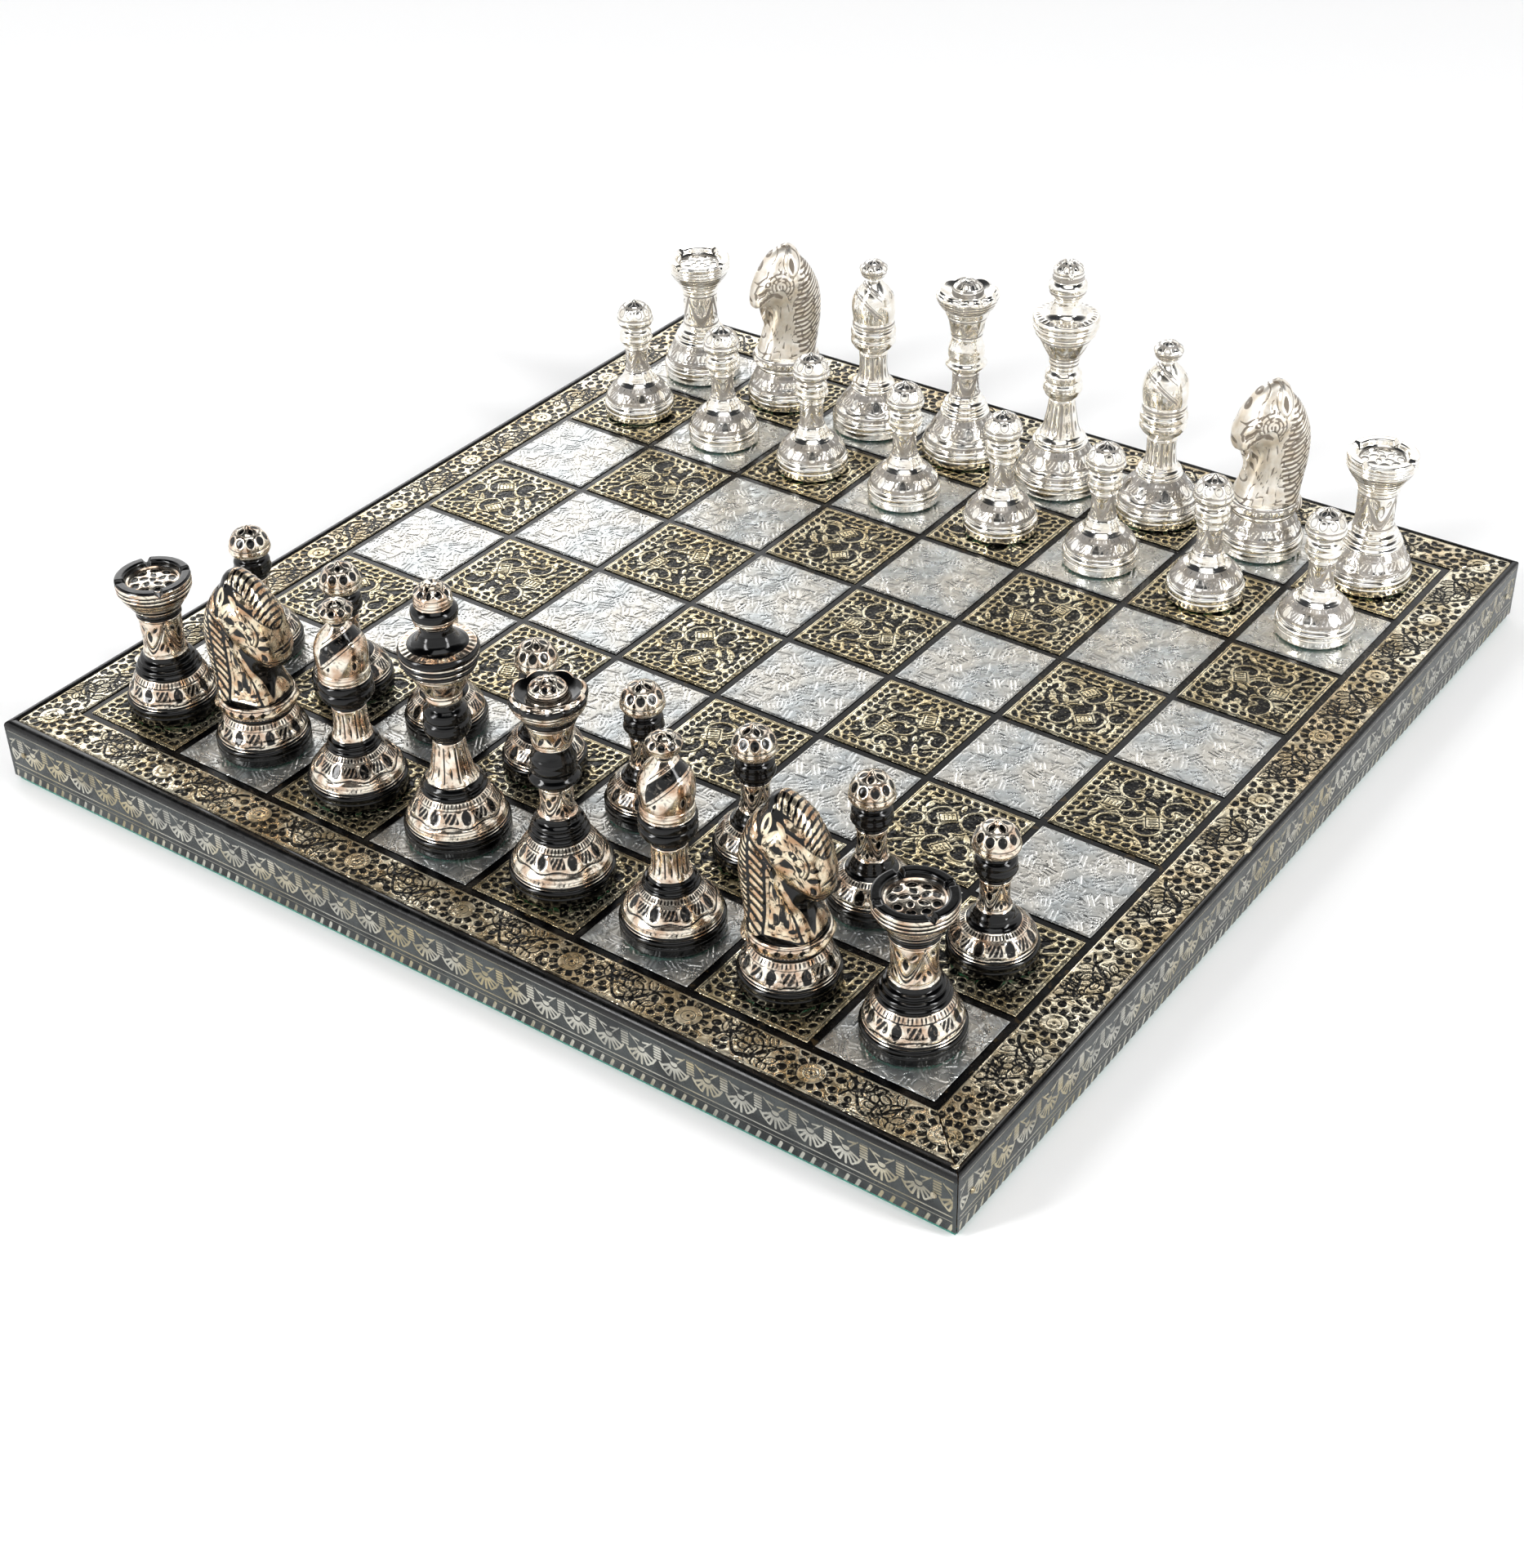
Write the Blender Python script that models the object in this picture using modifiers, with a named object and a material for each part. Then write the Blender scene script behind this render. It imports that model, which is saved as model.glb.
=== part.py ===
"""A brass-clad chess board set out with its thirty-two turned brass chessmen.

The board is a wooden core under sheet metal: a field sheet chased into sixty-four squares, four
mitred border strips, and four edge bands that fold over the rim and are held by small nails.
Felt covers the underside. Each chessman is one turned casting that stands free on its square.
The origin is the centre of the board's underside, +Z is up, and black plays from the -Y side.
"""

import math

import bmesh
import bpy

MM = 0.001

# Board, millimetres
BOARD_SIDE = 305.0
SQUARE_PITCH = 34.2
FELT_THICKNESS = 1.2
FELT_INSET = 0.9
CORE_THICKNESS = 15.9
SHEET_THICKNESS = 0.8
GROOVE_DEPTH = 0.5
GROOVE_WIDTH = 1.2
LIP_WIDTH = 2.6
BAND_THICKNESS = 0.8
RIM_RADIUS = 1.8
FIT_GAP = 0.3

# Nails that hold the edge bands
NAIL_HEAD_RADIUS = 0.9
NAIL_HEAD_HEIGHT = 0.45
NAIL_SHANK_RADIUS = 0.45
NAIL_LENGTH = 4.0
NAIL_FROM_CORNER = 6.0
NAIL_HEIGHT = 10.0

# Chessmen, millimetres
PAWN_SEGMENTS = 12
OFFICER_SEGMENTS = 14
DRUM_HEIGHT = 4.2
ROOK_SLOT_WIDTH = 1.4
ROOK_SLOT_DEPTH = 1.6
MITRE_SLOT_WIDTH = 1.3
MITRE_SLOT_TILT = math.radians(38)
HORSE_HALF_THICKNESS = 5.6
HORSE_EDGE_ROUNDING = 1.6
BLACK_TURN = math.radians(12)
SILVER_TURN = math.radians(220)

# Worked out from the above
HALF = BOARD_SIDE / 2
FIELD_HALF = 4 * SQUARE_PITCH
CORE_BOTTOM = FELT_THICKNESS + FIT_GAP
CORE_TOP = CORE_BOTTOM + CORE_THICKNESS
SHEET_BOTTOM = CORE_TOP + FIT_GAP
BOARD_TOP = SHEET_BOTTOM + SHEET_THICKNESS + GROOVE_DEPTH
CORE_HALF = HALF - BAND_THICKNESS - FIT_GAP
LIP_INNER = HALF - LIP_WIDTH
SIDES = {"front": 0, "right": 1, "back": 2, "left": 3}

BACK_RANK = {
    "black": ("rook", "knight", "bishop", "king", "queen", "bishop", "knight", "rook"),
    "silver": ("rook", "knight", "bishop", "queen", "king", "bishop", "knight", "rook"),
}

COLOURS = {
    "wood": ((0.42, 0.27, 0.15, 1), 0.7, 0.0),
    "green_felt": ((0.05, 0.22, 0.20, 1), 0.95, 0.0),
    "engraved_brass": ((0.72, 0.56, 0.30, 1), 0.35, 1.0),
    "field_brass": ((0.62, 0.56, 0.45, 1), 0.35, 1.0),
    "black_lacquer": ((0.02, 0.02, 0.025, 1), 0.2, 0.3),
    "black_and_copper": ((0.12, 0.07, 0.06, 1), 0.2, 0.8),
    "silver_plate": ((0.80, 0.76, 0.70, 1), 0.15, 1.0),
}


def clear_scene():
    for obj in list(bpy.data.objects):
        bpy.data.objects.remove(obj, do_unlink=True)


def new_collection(name):
    collection = bpy.data.collections.new(name)
    bpy.context.scene.collection.children.link(collection)
    return collection


def make_material(name):
    colour, roughness, metallic = COLOURS[name]
    material = bpy.data.materials.new(name)
    material.use_nodes = True
    shader = material.node_tree.nodes["Principled BSDF"]
    shader.inputs["Base Color"].default_value = colour
    shader.inputs["Roughness"].default_value = roughness
    shader.inputs["Metallic"].default_value = metallic
    material.diffuse_color = colour
    return material


def mesh_from(bm, name):
    bmesh.ops.recalc_face_normals(bm, faces=bm.faces)
    mesh = bpy.data.meshes.new(name)
    bm.to_mesh(mesh)
    bm.free()
    return mesh


def add_object(name, mesh, collection, material=None):
    obj = bpy.data.objects.new(name, mesh)
    collection.objects.link(obj)
    if material is not None:
        if not mesh.materials:
            mesh.materials.append(material)
        obj.material_slots[0].link = "OBJECT"
        obj.material_slots[0].material = material
    return obj


def add_cutter(name, mesh, cutters):
    obj = add_object(name, mesh, cutters)
    obj.hide_render = True
    obj.display_type = "WIRE"
    return obj


def cut(obj, cutter, operation="DIFFERENCE"):
    modifier = obj.modifiers.new(cutter.name, "BOOLEAN")
    modifier.operation = operation
    modifier.solver = "EXACT"
    modifier.object = cutter


def box_mesh(name, low, high):
    """A box between two corners given in millimetres."""
    bm = bmesh.new()
    bmesh.ops.create_cube(bm, size=1)
    for vert in bm.verts:
        vert.co = [(a + (b - a) * (c + 0.5)) * MM for a, b, c in zip(low, high, vert.co)]
    return mesh_from(bm, name)


def applied_mesh(obj, name):
    """The object's mesh with its modifiers applied, so that copies can share it."""
    graph = bpy.context.evaluated_depsgraph_get()
    mesh = bpy.data.meshes.new_from_object(obj.evaluated_get(graph))
    mesh.name = name
    return mesh


# ---------------------------------------------------------------- board

def add_felt_base(parts, material):
    side = HALF - FELT_INSET
    mesh = box_mesh("felt_base", (-side, -side, 0), (side, side, FELT_THICKNESS))
    add_object("felt_base", mesh, parts, material)


def nail_place(side, end):
    """Where a nail meets the outer face of a band, and the side's turn about Z."""
    turn = side * math.pi / 2
    along = end * (HALF - NAIL_FROM_CORNER)
    x = along * math.cos(turn) + HALF * math.sin(turn)
    y = along * math.sin(turn) - HALF * math.cos(turn)
    return (x * MM, y * MM, NAIL_HEIGHT * MM), turn


def nail_hole_mesh():
    """Eight blind pilot holes in one cutter, each a little wider and deeper than a shank."""
    radius = (NAIL_SHANK_RADIUS + FIT_GAP) * MM
    outside, inside = NAIL_LENGTH, NAIL_LENGTH + 2 * FIT_GAP
    bm = bmesh.new()
    for side in SIDES.values():
        for end in (-1, 1):
            made = bmesh.ops.create_cone(bm, cap_ends=True, segments=8, radius1=radius,
                                         radius2=radius, depth=(outside + inside) * MM)
            (left, across, up), turn = nail_place(side, end)
            for vert in made["verts"]:
                x, y, z = vert.co
                inward = z + (inside - outside) / 2 * MM
                vert.co = (left + x * math.cos(turn) - inward * math.sin(turn),
                           across + x * math.sin(turn) + inward * math.cos(turn), up + y)
    return mesh_from(bm, "nail_holes")


def add_core(parts, material, holes):
    mesh = box_mesh("board_core", (-CORE_HALF, -CORE_HALF, CORE_BOTTOM),
                    (CORE_HALF, CORE_HALF, CORE_TOP))
    cut(add_object("board_core", mesh, parts, material), holes)


def add_field_sheet(parts, material):
    """A sheet whose sixty-four squares stand up between the grooves."""
    lines = []
    for step in range(-4, 5):
        lines += [step * SQUARE_PITCH - GROOVE_WIDTH / 2, step * SQUARE_PITCH + GROOVE_WIDTH / 2]
    floor = (BOARD_TOP - GROOVE_DEPTH) * MM
    bm = bmesh.new()
    grid = [[bm.verts.new((x * MM, y * MM, floor)) for x in lines] for y in lines]
    squares = []
    for j in range(len(lines) - 1):
        for i in range(len(lines) - 1):
            corners = (grid[j][i], grid[j][i + 1], grid[j + 1][i + 1], grid[j + 1][i])
            face = bm.faces.new(corners)
            if i % 2 and j % 2:
                squares.append(face)
    rim = [edge for edge in bm.edges if edge.is_boundary]
    for face in bmesh.ops.extrude_discrete_faces(bm, faces=squares)["faces"]:
        for vert in face.verts:
            vert.co.z = BOARD_TOP * MM
    skirt = bmesh.ops.extrude_edge_only(bm, edges=rim)["geom"]
    for item in skirt:
        if isinstance(item, bmesh.types.BMVert):
            item.co.z = SHEET_BOTTOM * MM
    hem = [item for item in skirt if isinstance(item, bmesh.types.BMEdge) and item.is_boundary]
    bmesh.ops.edgeloop_fill(bm, edges=hem)
    add_object("field_sheet", mesh_from(bm, "field_sheet"), parts, material)


def strip_outline():
    """Section of a border strip: outward distance from the centre, height."""
    low, high = SHEET_BOTTOM, BOARD_TOP
    inner = FIELD_HALF + GROOVE_WIDTH / 2 + FIT_GAP
    outer = LIP_INNER - FIT_GAP
    return [(inner, low), (outer, low), (outer, high), (inner, high)]


def band_outline():
    """Section of an edge band: a side wall whose rounded top folds over the rim."""
    low, high = CORE_BOTTOM, BOARD_TOP
    arc = []
    for step in range(4):
        angle = math.pi / 6 * step
        arc.append((HALF - RIM_RADIUS + RIM_RADIUS * math.cos(angle),
                    high - RIM_RADIUS + RIM_RADIUS * math.sin(angle)))
    under = high - BAND_THICKNESS
    return [(HALF - BAND_THICKNESS, low), (HALF, low), *arc, (LIP_INNER, high),
            (LIP_INNER, under), (HALF - BAND_THICKNESS, under)]


def mitred_bar(name, outline):
    """A section run along the front side, with both ends slanted at 45 degrees."""
    bm = bmesh.new()
    section = [bm.verts.new((-1, -out * MM, high * MM)) for out, high in outline]
    face = bm.faces.new(section)
    run = bmesh.ops.extrude_face_region(bm, geom=[face])["geom"]
    for item in run:
        if isinstance(item, bmesh.types.BMVert):
            item.co.x = 1
    for vert in bm.verts:
        vert.co.x *= abs(vert.co.y) - FIT_GAP / 2 * MM
    return mesh_from(bm, name)


def add_strips(parts, brass, lacquer, holes):
    strip = mitred_bar("border_strip", strip_outline())
    band = mitred_bar("edge_band", band_outline())
    for side, quarter in SIDES.items():
        border = add_object(f"border_strip_{side}", strip, parts, brass)
        border.rotation_euler.z = quarter * math.pi / 2
        edge = add_object(f"edge_band_{side}", band, parts, lacquer)
        edge.rotation_euler.z = quarter * math.pi / 2
        cut(edge, holes)


def add_nails(parts, material):
    """Round-headed nails through each band, near its ends."""
    profile = [(0, NAIL_HEAD_HEIGHT + 0.2), (NAIL_HEAD_RADIUS * 0.7, NAIL_HEAD_HEIGHT),
               (NAIL_HEAD_RADIUS, 0.1), (NAIL_SHANK_RADIUS, 0.1),
               (NAIL_SHANK_RADIUS, 1 - NAIL_LENGTH), (0, -NAIL_LENGTH)]
    turned = turned_object("edge_nail", profile[::-1], 8, parts)
    mesh = applied_mesh(turned, "edge_nail")
    bpy.data.objects.remove(turned, do_unlink=True)
    for side, quarter in SIDES.items():
        for number, end in enumerate((-1, 1), 1):
            nail = add_object(f"edge_nail_{side}_{number}", mesh, parts, material)
            nail.location, turn = nail_place(quarter, end)
            nail.rotation_euler = (math.pi / 2, 0, turn)


# ---------------------------------------------------------------- chessmen

def turned_object(name, profile, segments, collection):
    """A closed turned shape. The profile is (radius, height) from the base up, in millimetres."""
    mesh = bpy.data.meshes.new(name)
    points = [(radius * MM, 0, height * MM) for radius, height in reversed(profile)]
    edges = [(i, i + 1) for i in range(len(points) - 1)]
    mesh.from_pydata(points, edges, [])
    obj = add_object(name, mesh, collection)
    screw = obj.modifiers.new("turned", "SCREW")
    screw.steps = segments
    screw.render_steps = segments
    screw.use_merge_vertices = True
    screw.merge_threshold = 0.00001
    screw.use_smooth_shade = True
    return obj


def arc(start, end, rise, count):
    """Points between two profile points on a bow that stands out by rise."""
    (r0, z0), (r1, z1) = start, end
    length = math.hypot(r1 - r0, z1 - z0)
    normal = ((z1 - z0) / length, -(r1 - r0) / length)
    points = []
    for step in range(1, count + 1):
        t = step / (count + 1)
        bow = rise * math.sin(math.pi * t)
        points.append((r0 + (r1 - r0) * t + normal[0] * bow, z0 + (z1 - z0) * t + normal[1] * bow))
    return points


def foot(radius, neck_radius, neck_height):
    """The drum and the dome that every chessman stands on."""
    shoulder = (radius * 0.9, DRUM_HEIGHT + 1.4)
    neck = (neck_radius, neck_height)
    return [(0, 0), (radius, 0), (radius, DRUM_HEIGHT), shoulder,
            *arc(shoulder, neck, 1.1, 1), neck]


def pawn_profile():
    return [*foot(11.2, 6.6, 10.8), (3.9, 14.6), (3.6, 23.0), (5.0, 25.8), (4.9, 28.8),
            (4.2, 30.4), (5.7, 31.6), *arc((5.7, 31.6), (0, 39.0), 2.1, 2), (0, 39.0)]


def rook_profile():
    return [*foot(12.5, 8.6, 12.6), (7.4, 16.2), (5.8, 17.8), (5.6, 29.0), (6.6, 31.6),
            (9.8, 36.8), (10.0, 40.4), (7.2, 40.4), (7.0, 38.4), (0, 38.8)]


def knight_profile():
    return [*foot(12.5, 8.8, 12.2), (10.2, 13.4), (10.2, 16.4), (7.0, 18.0), (0, 18.0)]


def bishop_profile():
    return [*foot(13.0, 6.7, 13.6), (6.0, 16.2), (5.0, 16.6), (4.5, 26.0), (6.9, 29.0),
            (6.9, 33.6), (6.2, 36.4), *arc((6.2, 36.4), (2.3, 50.2), 2.4, 3), (2.3, 50.2),
            (4.1, 52.4), (3.6, 54.8), (0, 56.2)]


def queen_profile():
    return [*foot(13.2, 7.2, 14.4), (6.2, 20.0), (4.1, 20.6), (4.1, 28.6), (6.4, 31.4),
            (5.0, 33.8), (4.8, 40.6), (6.2, 49.4), (9.6, 53.8), (9.6, 55.2), (6.0, 53.2),
            (4.4, 56.0), (0, 58.8)]


def king_profile():
    return [*foot(13.6, 8.1, 14.2), (6.9, 16.4), (6.2, 17.0), (3.9, 29.6), (5.4, 33.4),
            (5.2, 37.0), (4.2, 39.0), (4.2, 41.6), (8.8, 50.2), (9.8, 54.0), (9.4, 55.8),
            (7.4, 56.2), (3.8, 61.0), (5.6, 65.2), (5.4, 68.2), (3.9, 69.0), (3.0, 71.6),
            (0, 73.0)]


HORSE_OUTLINE = [
    (9.2, 16.0), (7.6, 21.0), (6.4, 25.4), (8.6, 27.4), (11.4, 28.2), (12.6, 31.0),
    (12.0, 37.4), (10.2, 42.8), (6.6, 48.0), (1.6, 51.6), (-3.2, 53.0), (-5.6, 49.4),
    (-9.0, 45.6), (-12.0, 40.0), (-12.9, 33.0), (-11.8, 23.6), (-10.0, 16.0),
]


def horse_mesh(cutters):
    """The neck and head, an outline seen from the side with rounded edges."""
    curve = bpy.data.curves.new("horse_outline", "CURVE")
    curve.dimensions = "2D"
    curve.fill_mode = "BOTH"
    curve.extrude = (HORSE_HALF_THICKNESS - HORSE_EDGE_ROUNDING) * MM
    curve.bevel_depth = HORSE_EDGE_ROUNDING * MM
    curve.bevel_resolution = 0
    curve.offset = -HORSE_EDGE_ROUNDING * MM
    spline = curve.splines.new("POLY")
    spline.points.add(len(HORSE_OUTLINE) - 1)
    for point, (forward, high) in zip(spline.points, HORSE_OUTLINE):
        point.co = (forward * MM, high * MM, 0, 1)
    spline.use_cyclic_u = True
    obj = bpy.data.objects.new("horse_outline", curve)
    cutters.objects.link(obj)
    bpy.context.view_layer.update()
    graph = bpy.context.evaluated_depsgraph_get()
    mesh = bpy.data.meshes.new_from_object(obj.evaluated_get(graph))
    bpy.data.objects.remove(obj, do_unlink=True)
    bm = bmesh.new()
    bm.from_mesh(mesh)
    bmesh.ops.remove_doubles(bm, verts=bm.verts, dist=0.00001)
    for vert in bm.verts:
        forward, high, across = vert.co
        vert.co = (forward, -across, high)
    return mesh_from(bm, "horse")


def rook_slots_mesh():
    """One bar that notches the rim on two opposite sides."""
    half = ROOK_SLOT_WIDTH / 2
    return box_mesh("rook_slot", (-15, -half, 40.4 - ROOK_SLOT_DEPTH), (15, half, 45))


def add_rook_slots(rook, cutters):
    for number in range(2):
        slot = add_cutter(f"rook_slot_{number}", rook_slots_mesh(), cutters)
        slot.rotation_euler.z = math.pi / 4 + number * math.pi / 2
        cut(rook, slot)


def add_mitre_slot(bishop, cutters):
    half = MITRE_SLOT_WIDTH / 2
    slot = add_cutter("mitre_slot", box_mesh("mitre_slot", (0, -9, -half), (12, 9, half)), cutters)
    slot.location = (1.5 * MM, 0, 41.5 * MM)
    slot.rotation_euler.y = -MITRE_SLOT_TILT
    cut(bishop, slot)


def chessman_meshes(cutters):
    """One finished mesh for each kind of chessman."""
    profiles = {"pawn": pawn_profile, "rook": rook_profile, "knight": knight_profile,
                "bishop": bishop_profile, "queen": queen_profile, "king": king_profile}
    meshes = {}
    for kind, profile in profiles.items():
        segments = PAWN_SEGMENTS if kind == "pawn" else OFFICER_SEGMENTS
        blank = turned_object(f"{kind}_blank", profile(), segments, cutters)
        if kind == "rook":
            add_rook_slots(blank, cutters)
        if kind == "bishop":
            add_mitre_slot(blank, cutters)
        if kind == "knight":
            cut(blank, add_cutter("horse", horse_mesh(cutters), cutters), "UNION")
        bpy.context.view_layer.update()
        meshes[kind] = applied_mesh(blank, kind)
        bpy.data.objects.remove(blank, do_unlink=True)
    return meshes


def square_centre(column, row):
    """Centre of a square, both counted from 1, at the height a chessman stands."""
    return ((column - 4.5) * SQUARE_PITCH * MM, (row - 4.5) * SQUARE_PITCH * MM,
            (BOARD_TOP + FIT_GAP) * MM)


def add_chessmen(parts, meshes, materials):
    for colour, row, pawn_row, turn in (("black", 1, 2, BLACK_TURN),
                                        ("silver", 8, 7, SILVER_TURN)):
        count = {}
        for column, kind in enumerate(BACK_RANK[colour], 1):
            count[kind] = count.get(kind, 0) + 1
            single = kind in ("king", "queen")
            name = f"{colour}_{kind}" if single else f"{colour}_{kind}_{count[kind]}"
            man = add_object(name, meshes[kind], parts, materials[colour])
            man.location = square_centre(column, row)
            man.rotation_euler.z = turn
        for column in range(1, 9):
            pawn = add_object(f"{colour}_pawn_{column}", meshes["pawn"], parts, materials[colour])
            pawn.location = square_centre(column, pawn_row)


def main():
    clear_scene()
    parts = new_collection("chess_set")
    cutters = new_collection("cutters")
    made = {name: make_material(name) for name in COLOURS}
    holes = add_cutter("nail_holes", nail_hole_mesh(), cutters)
    add_felt_base(parts, made["green_felt"])
    add_core(parts, made["wood"], holes)
    add_field_sheet(parts, made["field_brass"])
    add_strips(parts, made["engraved_brass"], made["black_lacquer"], holes)
    add_nails(parts, made["black_lacquer"])
    men = {"black": made["black_and_copper"], "silver": made["silver_plate"]}
    add_chessmen(parts, chessman_meshes(cutters), men)


main()
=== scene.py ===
"""The looks of a brass-clad chess board with its thirty-two engraved chessmen.

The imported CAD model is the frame. The board's chased squares, border strips and edge bands, and every
chessman, are rebuilt here as fine meshes. Each carries an "ink" attribute: how far, in millimetres, a
point lies inside an engraved or enamelled mark (positive) or outside it (negative). The materials turn
that distance into filled colour, gloss and depth. Lengths are millimetres unless a name says otherwise.
"""

import functools
import math

import bpy
import numpy as np
from mathutils import Matrix, Vector


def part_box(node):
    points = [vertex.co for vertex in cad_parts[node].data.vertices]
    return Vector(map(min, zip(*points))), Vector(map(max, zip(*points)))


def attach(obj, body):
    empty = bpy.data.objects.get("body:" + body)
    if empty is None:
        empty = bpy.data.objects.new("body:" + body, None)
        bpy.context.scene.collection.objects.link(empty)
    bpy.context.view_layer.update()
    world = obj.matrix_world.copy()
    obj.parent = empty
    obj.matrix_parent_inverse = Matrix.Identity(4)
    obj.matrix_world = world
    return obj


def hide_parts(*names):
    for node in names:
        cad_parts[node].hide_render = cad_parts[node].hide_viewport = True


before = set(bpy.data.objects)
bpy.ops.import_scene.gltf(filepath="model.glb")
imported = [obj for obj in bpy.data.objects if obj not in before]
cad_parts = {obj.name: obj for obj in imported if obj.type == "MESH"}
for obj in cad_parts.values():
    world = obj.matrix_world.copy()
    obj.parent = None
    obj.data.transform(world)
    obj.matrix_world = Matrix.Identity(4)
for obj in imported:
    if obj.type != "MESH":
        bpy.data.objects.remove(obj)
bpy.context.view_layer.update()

MM = 0.001
PI = math.pi

# ---------------------------------------------------------------- driving sizes

PITCH = 34.2                    # one square of the field to the next
FIELD_HALF = 4 * PITCH
GROOVE = 2.2                    # lacquered groove between two squares
GROOVE_DEPTH = 0.5
ENGRAVED_DEPTH = 0.18
STROKE_DEPTH = 0.09             # graver strokes in the pale squares
CELL = 0.27                     # spacing of the finest mesh rows
LIPS = {"front": (2.6, 1.4), "right": (1.5, 0.7)}     # lip width and rim radius, by side
CHESSMAN_GAP = 0.3              # a chessman's base stands this far above the field
PAD_THICKNESS = 0.25
BARE = -9.0                     # the ink value of a point far from any mark
SEAT = 0.02                     # how deep a laid-on piece sits in what is under it

board_low, board_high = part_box("field_sheet")
edge_low, edge_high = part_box("edge_band_front")
TOP = board_high.z / MM
HALF = -edge_low.y / MM
BAND_BOTTOM = edge_low.z / MM
STRIP_INNER = FIELD_HALF + GROOVE / 2

# Camera: the photograph's viewing angle, with distances in metres from the field's surface
VIEW_AZIMUTH = math.radians(36.723)
VIEW_ELEVATION = math.radians(35.829)
VIEW_ROLL = math.radians(-1.539)
VIEW_DISTANCE = 0.65096
VIEW_TARGET = Vector((0.03482, -0.06067, TOP * MM))
VIEW_LENS = 59.52

FACING = {"black": math.radians(12), "silver": math.radians(220)}
BACK_RANK = {
    "black": ("rook", "knight", "bishop", "king", "queen", "bishop", "knight", "rook"),
    "silver": ("rook", "knight", "bishop", "queen", "king", "bishop", "knight", "rook"),
}


# ---------------------------------------------------------------- marks: signed distances

def smooth(value, low, high):
    t = np.clip((value - low) / (high - low), 0, 1)
    return t * t * (3 - 2 * t)


def cut(ink):
    """How fully a point is cut away, 0 to 1, with a short slope at the edge of a mark."""
    return smooth(ink, -0.15, 0.15)


def union(*marks):
    """Where any of the marks is."""
    return functools.reduce(np.maximum, marks)


def shared(*marks):
    """Where all the marks overlap."""
    return functools.reduce(np.minimum, marks)


def bare(x):
    """An array of x's shape with no mark anywhere."""
    return np.full(np.shape(x), BARE)


def local(x, y, cx, cy, turn):
    """The offset from (cx, cy), along turn and across it."""
    dx, dy = x - cx, y - cy
    return dx * math.cos(turn) + dy * math.sin(turn), dy * math.cos(turn) - dx * math.sin(turn)


def disc(x, y, cx, cy, radius):
    return radius - np.hypot(x - cx, y - cy)


def leaf(x, y, cx, cy, turn, length, width):
    """A pointed oval about (cx, cy) that points along turn."""
    u, v = local(x, y, cx, cy, turn)
    a, b = length / 2, width / 2
    radius = (a * a + b * b) / (2 * b)
    return radius - np.hypot(u, abs(v) + radius - b)


def leaves(x, y, sizes):
    """Several leaves at once, each given by its centre, turn, length and width."""
    return union(*[leaf(x, y, *size) for size in sizes])


def stroke(x, y, start, end, half):
    """A straight round-ended stroke."""
    dx, dy = end[0] - start[0], end[1] - start[1]
    t = ((x - start[0]) * dx + (y - start[1]) * dy) / (dx * dx + dy * dy)
    t = np.clip(t, 0, 1)
    return half - np.hypot(x - start[0] - t * dx, y - start[1] - t * dy)


def sweep(x, y, path, thick, thin):
    """A curved stroke that thins along its path."""
    ink = bare(x)
    count = len(path) - 1
    for k in range(count):
        half = thick + (thin - thick) * (k + 0.5) / count
        ink = union(ink, stroke(x, y, path[k], path[k + 1], half))
    return ink


def spiral(cx, cy, radius, turn, sweep_angle):
    """Points on a curl that starts at radius and closes in to half of it."""
    points = []
    for k in range(10):
        t = k / 9
        r = radius * (1 - 0.5 * t)
        a = turn + sweep_angle * t
        points.append((cx + r * math.cos(a), cy + r * math.sin(a)))
    return points


def wrap(value, period):
    """The offset from the nearest multiple of period."""
    return value - period * np.round(value / period)


def hatch(x, y, turn, pitch, half):
    """Parallel cuts that run along turn."""
    across = y * math.cos(turn) - x * math.sin(turn)
    return half - abs(wrap(across, pitch))


# ---------------------------------------------------------------- designs for the flat work

def daisy(x, y, cx, cy):
    """A bright eye in a ring of black petals, with a looser ring of drops."""
    u, v = x - cx, y - cy
    r, a = np.hypot(u, v), np.arctan2(v, u)
    step = 2 * PI / 12
    petals = shared(1.1 - abs(r - 4.4), 0.86 - abs(r * wrap(a, step)))
    between = wrap(a + step / 2, step)
    drops = leaf(r * np.cos(between), r * np.sin(between), 7.1, 0, 0, 2.6, 2.3)
    return union(disc(u, v, 0.0, 0.0, 0.45), 0.13 - abs(r - 1.7), petals, drops)


def bare_leaf(ink, x, y, cx, cy, turn, length, width):
    """Adds a leaf of bare metal that has a bold black outline and a thin vein."""
    inside = leaf(x, y, cx, cy, turn, length, width)
    du, dv = 0.3 * length * math.cos(turn), 0.3 * length * math.sin(turn)
    vein = stroke(x, y, (cx - du, cy - dv), (cx + du, cy + dv), 0.12)
    return np.where(inside > 0, vein, union(ink, 0.27 - abs(inside + 0.27)))


def sprig(x, y, cx, cy, turn, length, bend):
    """A black stem with pairs of outlined leaflets."""
    ink = bare(x)
    path = []
    for k in range(7):
        t = k / 6
        a = turn + bend * (t - 0.5)
        base = path[-1] if path else (cx, cy)
        path.append((base[0] + length / 6 * math.cos(a), base[1] + length / 6 * math.sin(a)))
    ink = union(ink, sweep(x, y, [(cx, cy)] + path, 0.4, 0.25))
    for k in (1, 3, 5):
        a = turn + bend * (k / 6 - 0.5)
        for side in (-1, 1):
            size = 3.9 - 0.2 * k
            lean = a + side * 0.95
            px = path[k][0] + size * 0.55 * math.cos(lean)
            py = path[k][1] + size * 0.55 * math.sin(lean)
            ink = bare_leaf(ink, x, y, px, py, lean, size, 1.5)
    return ink


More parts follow.
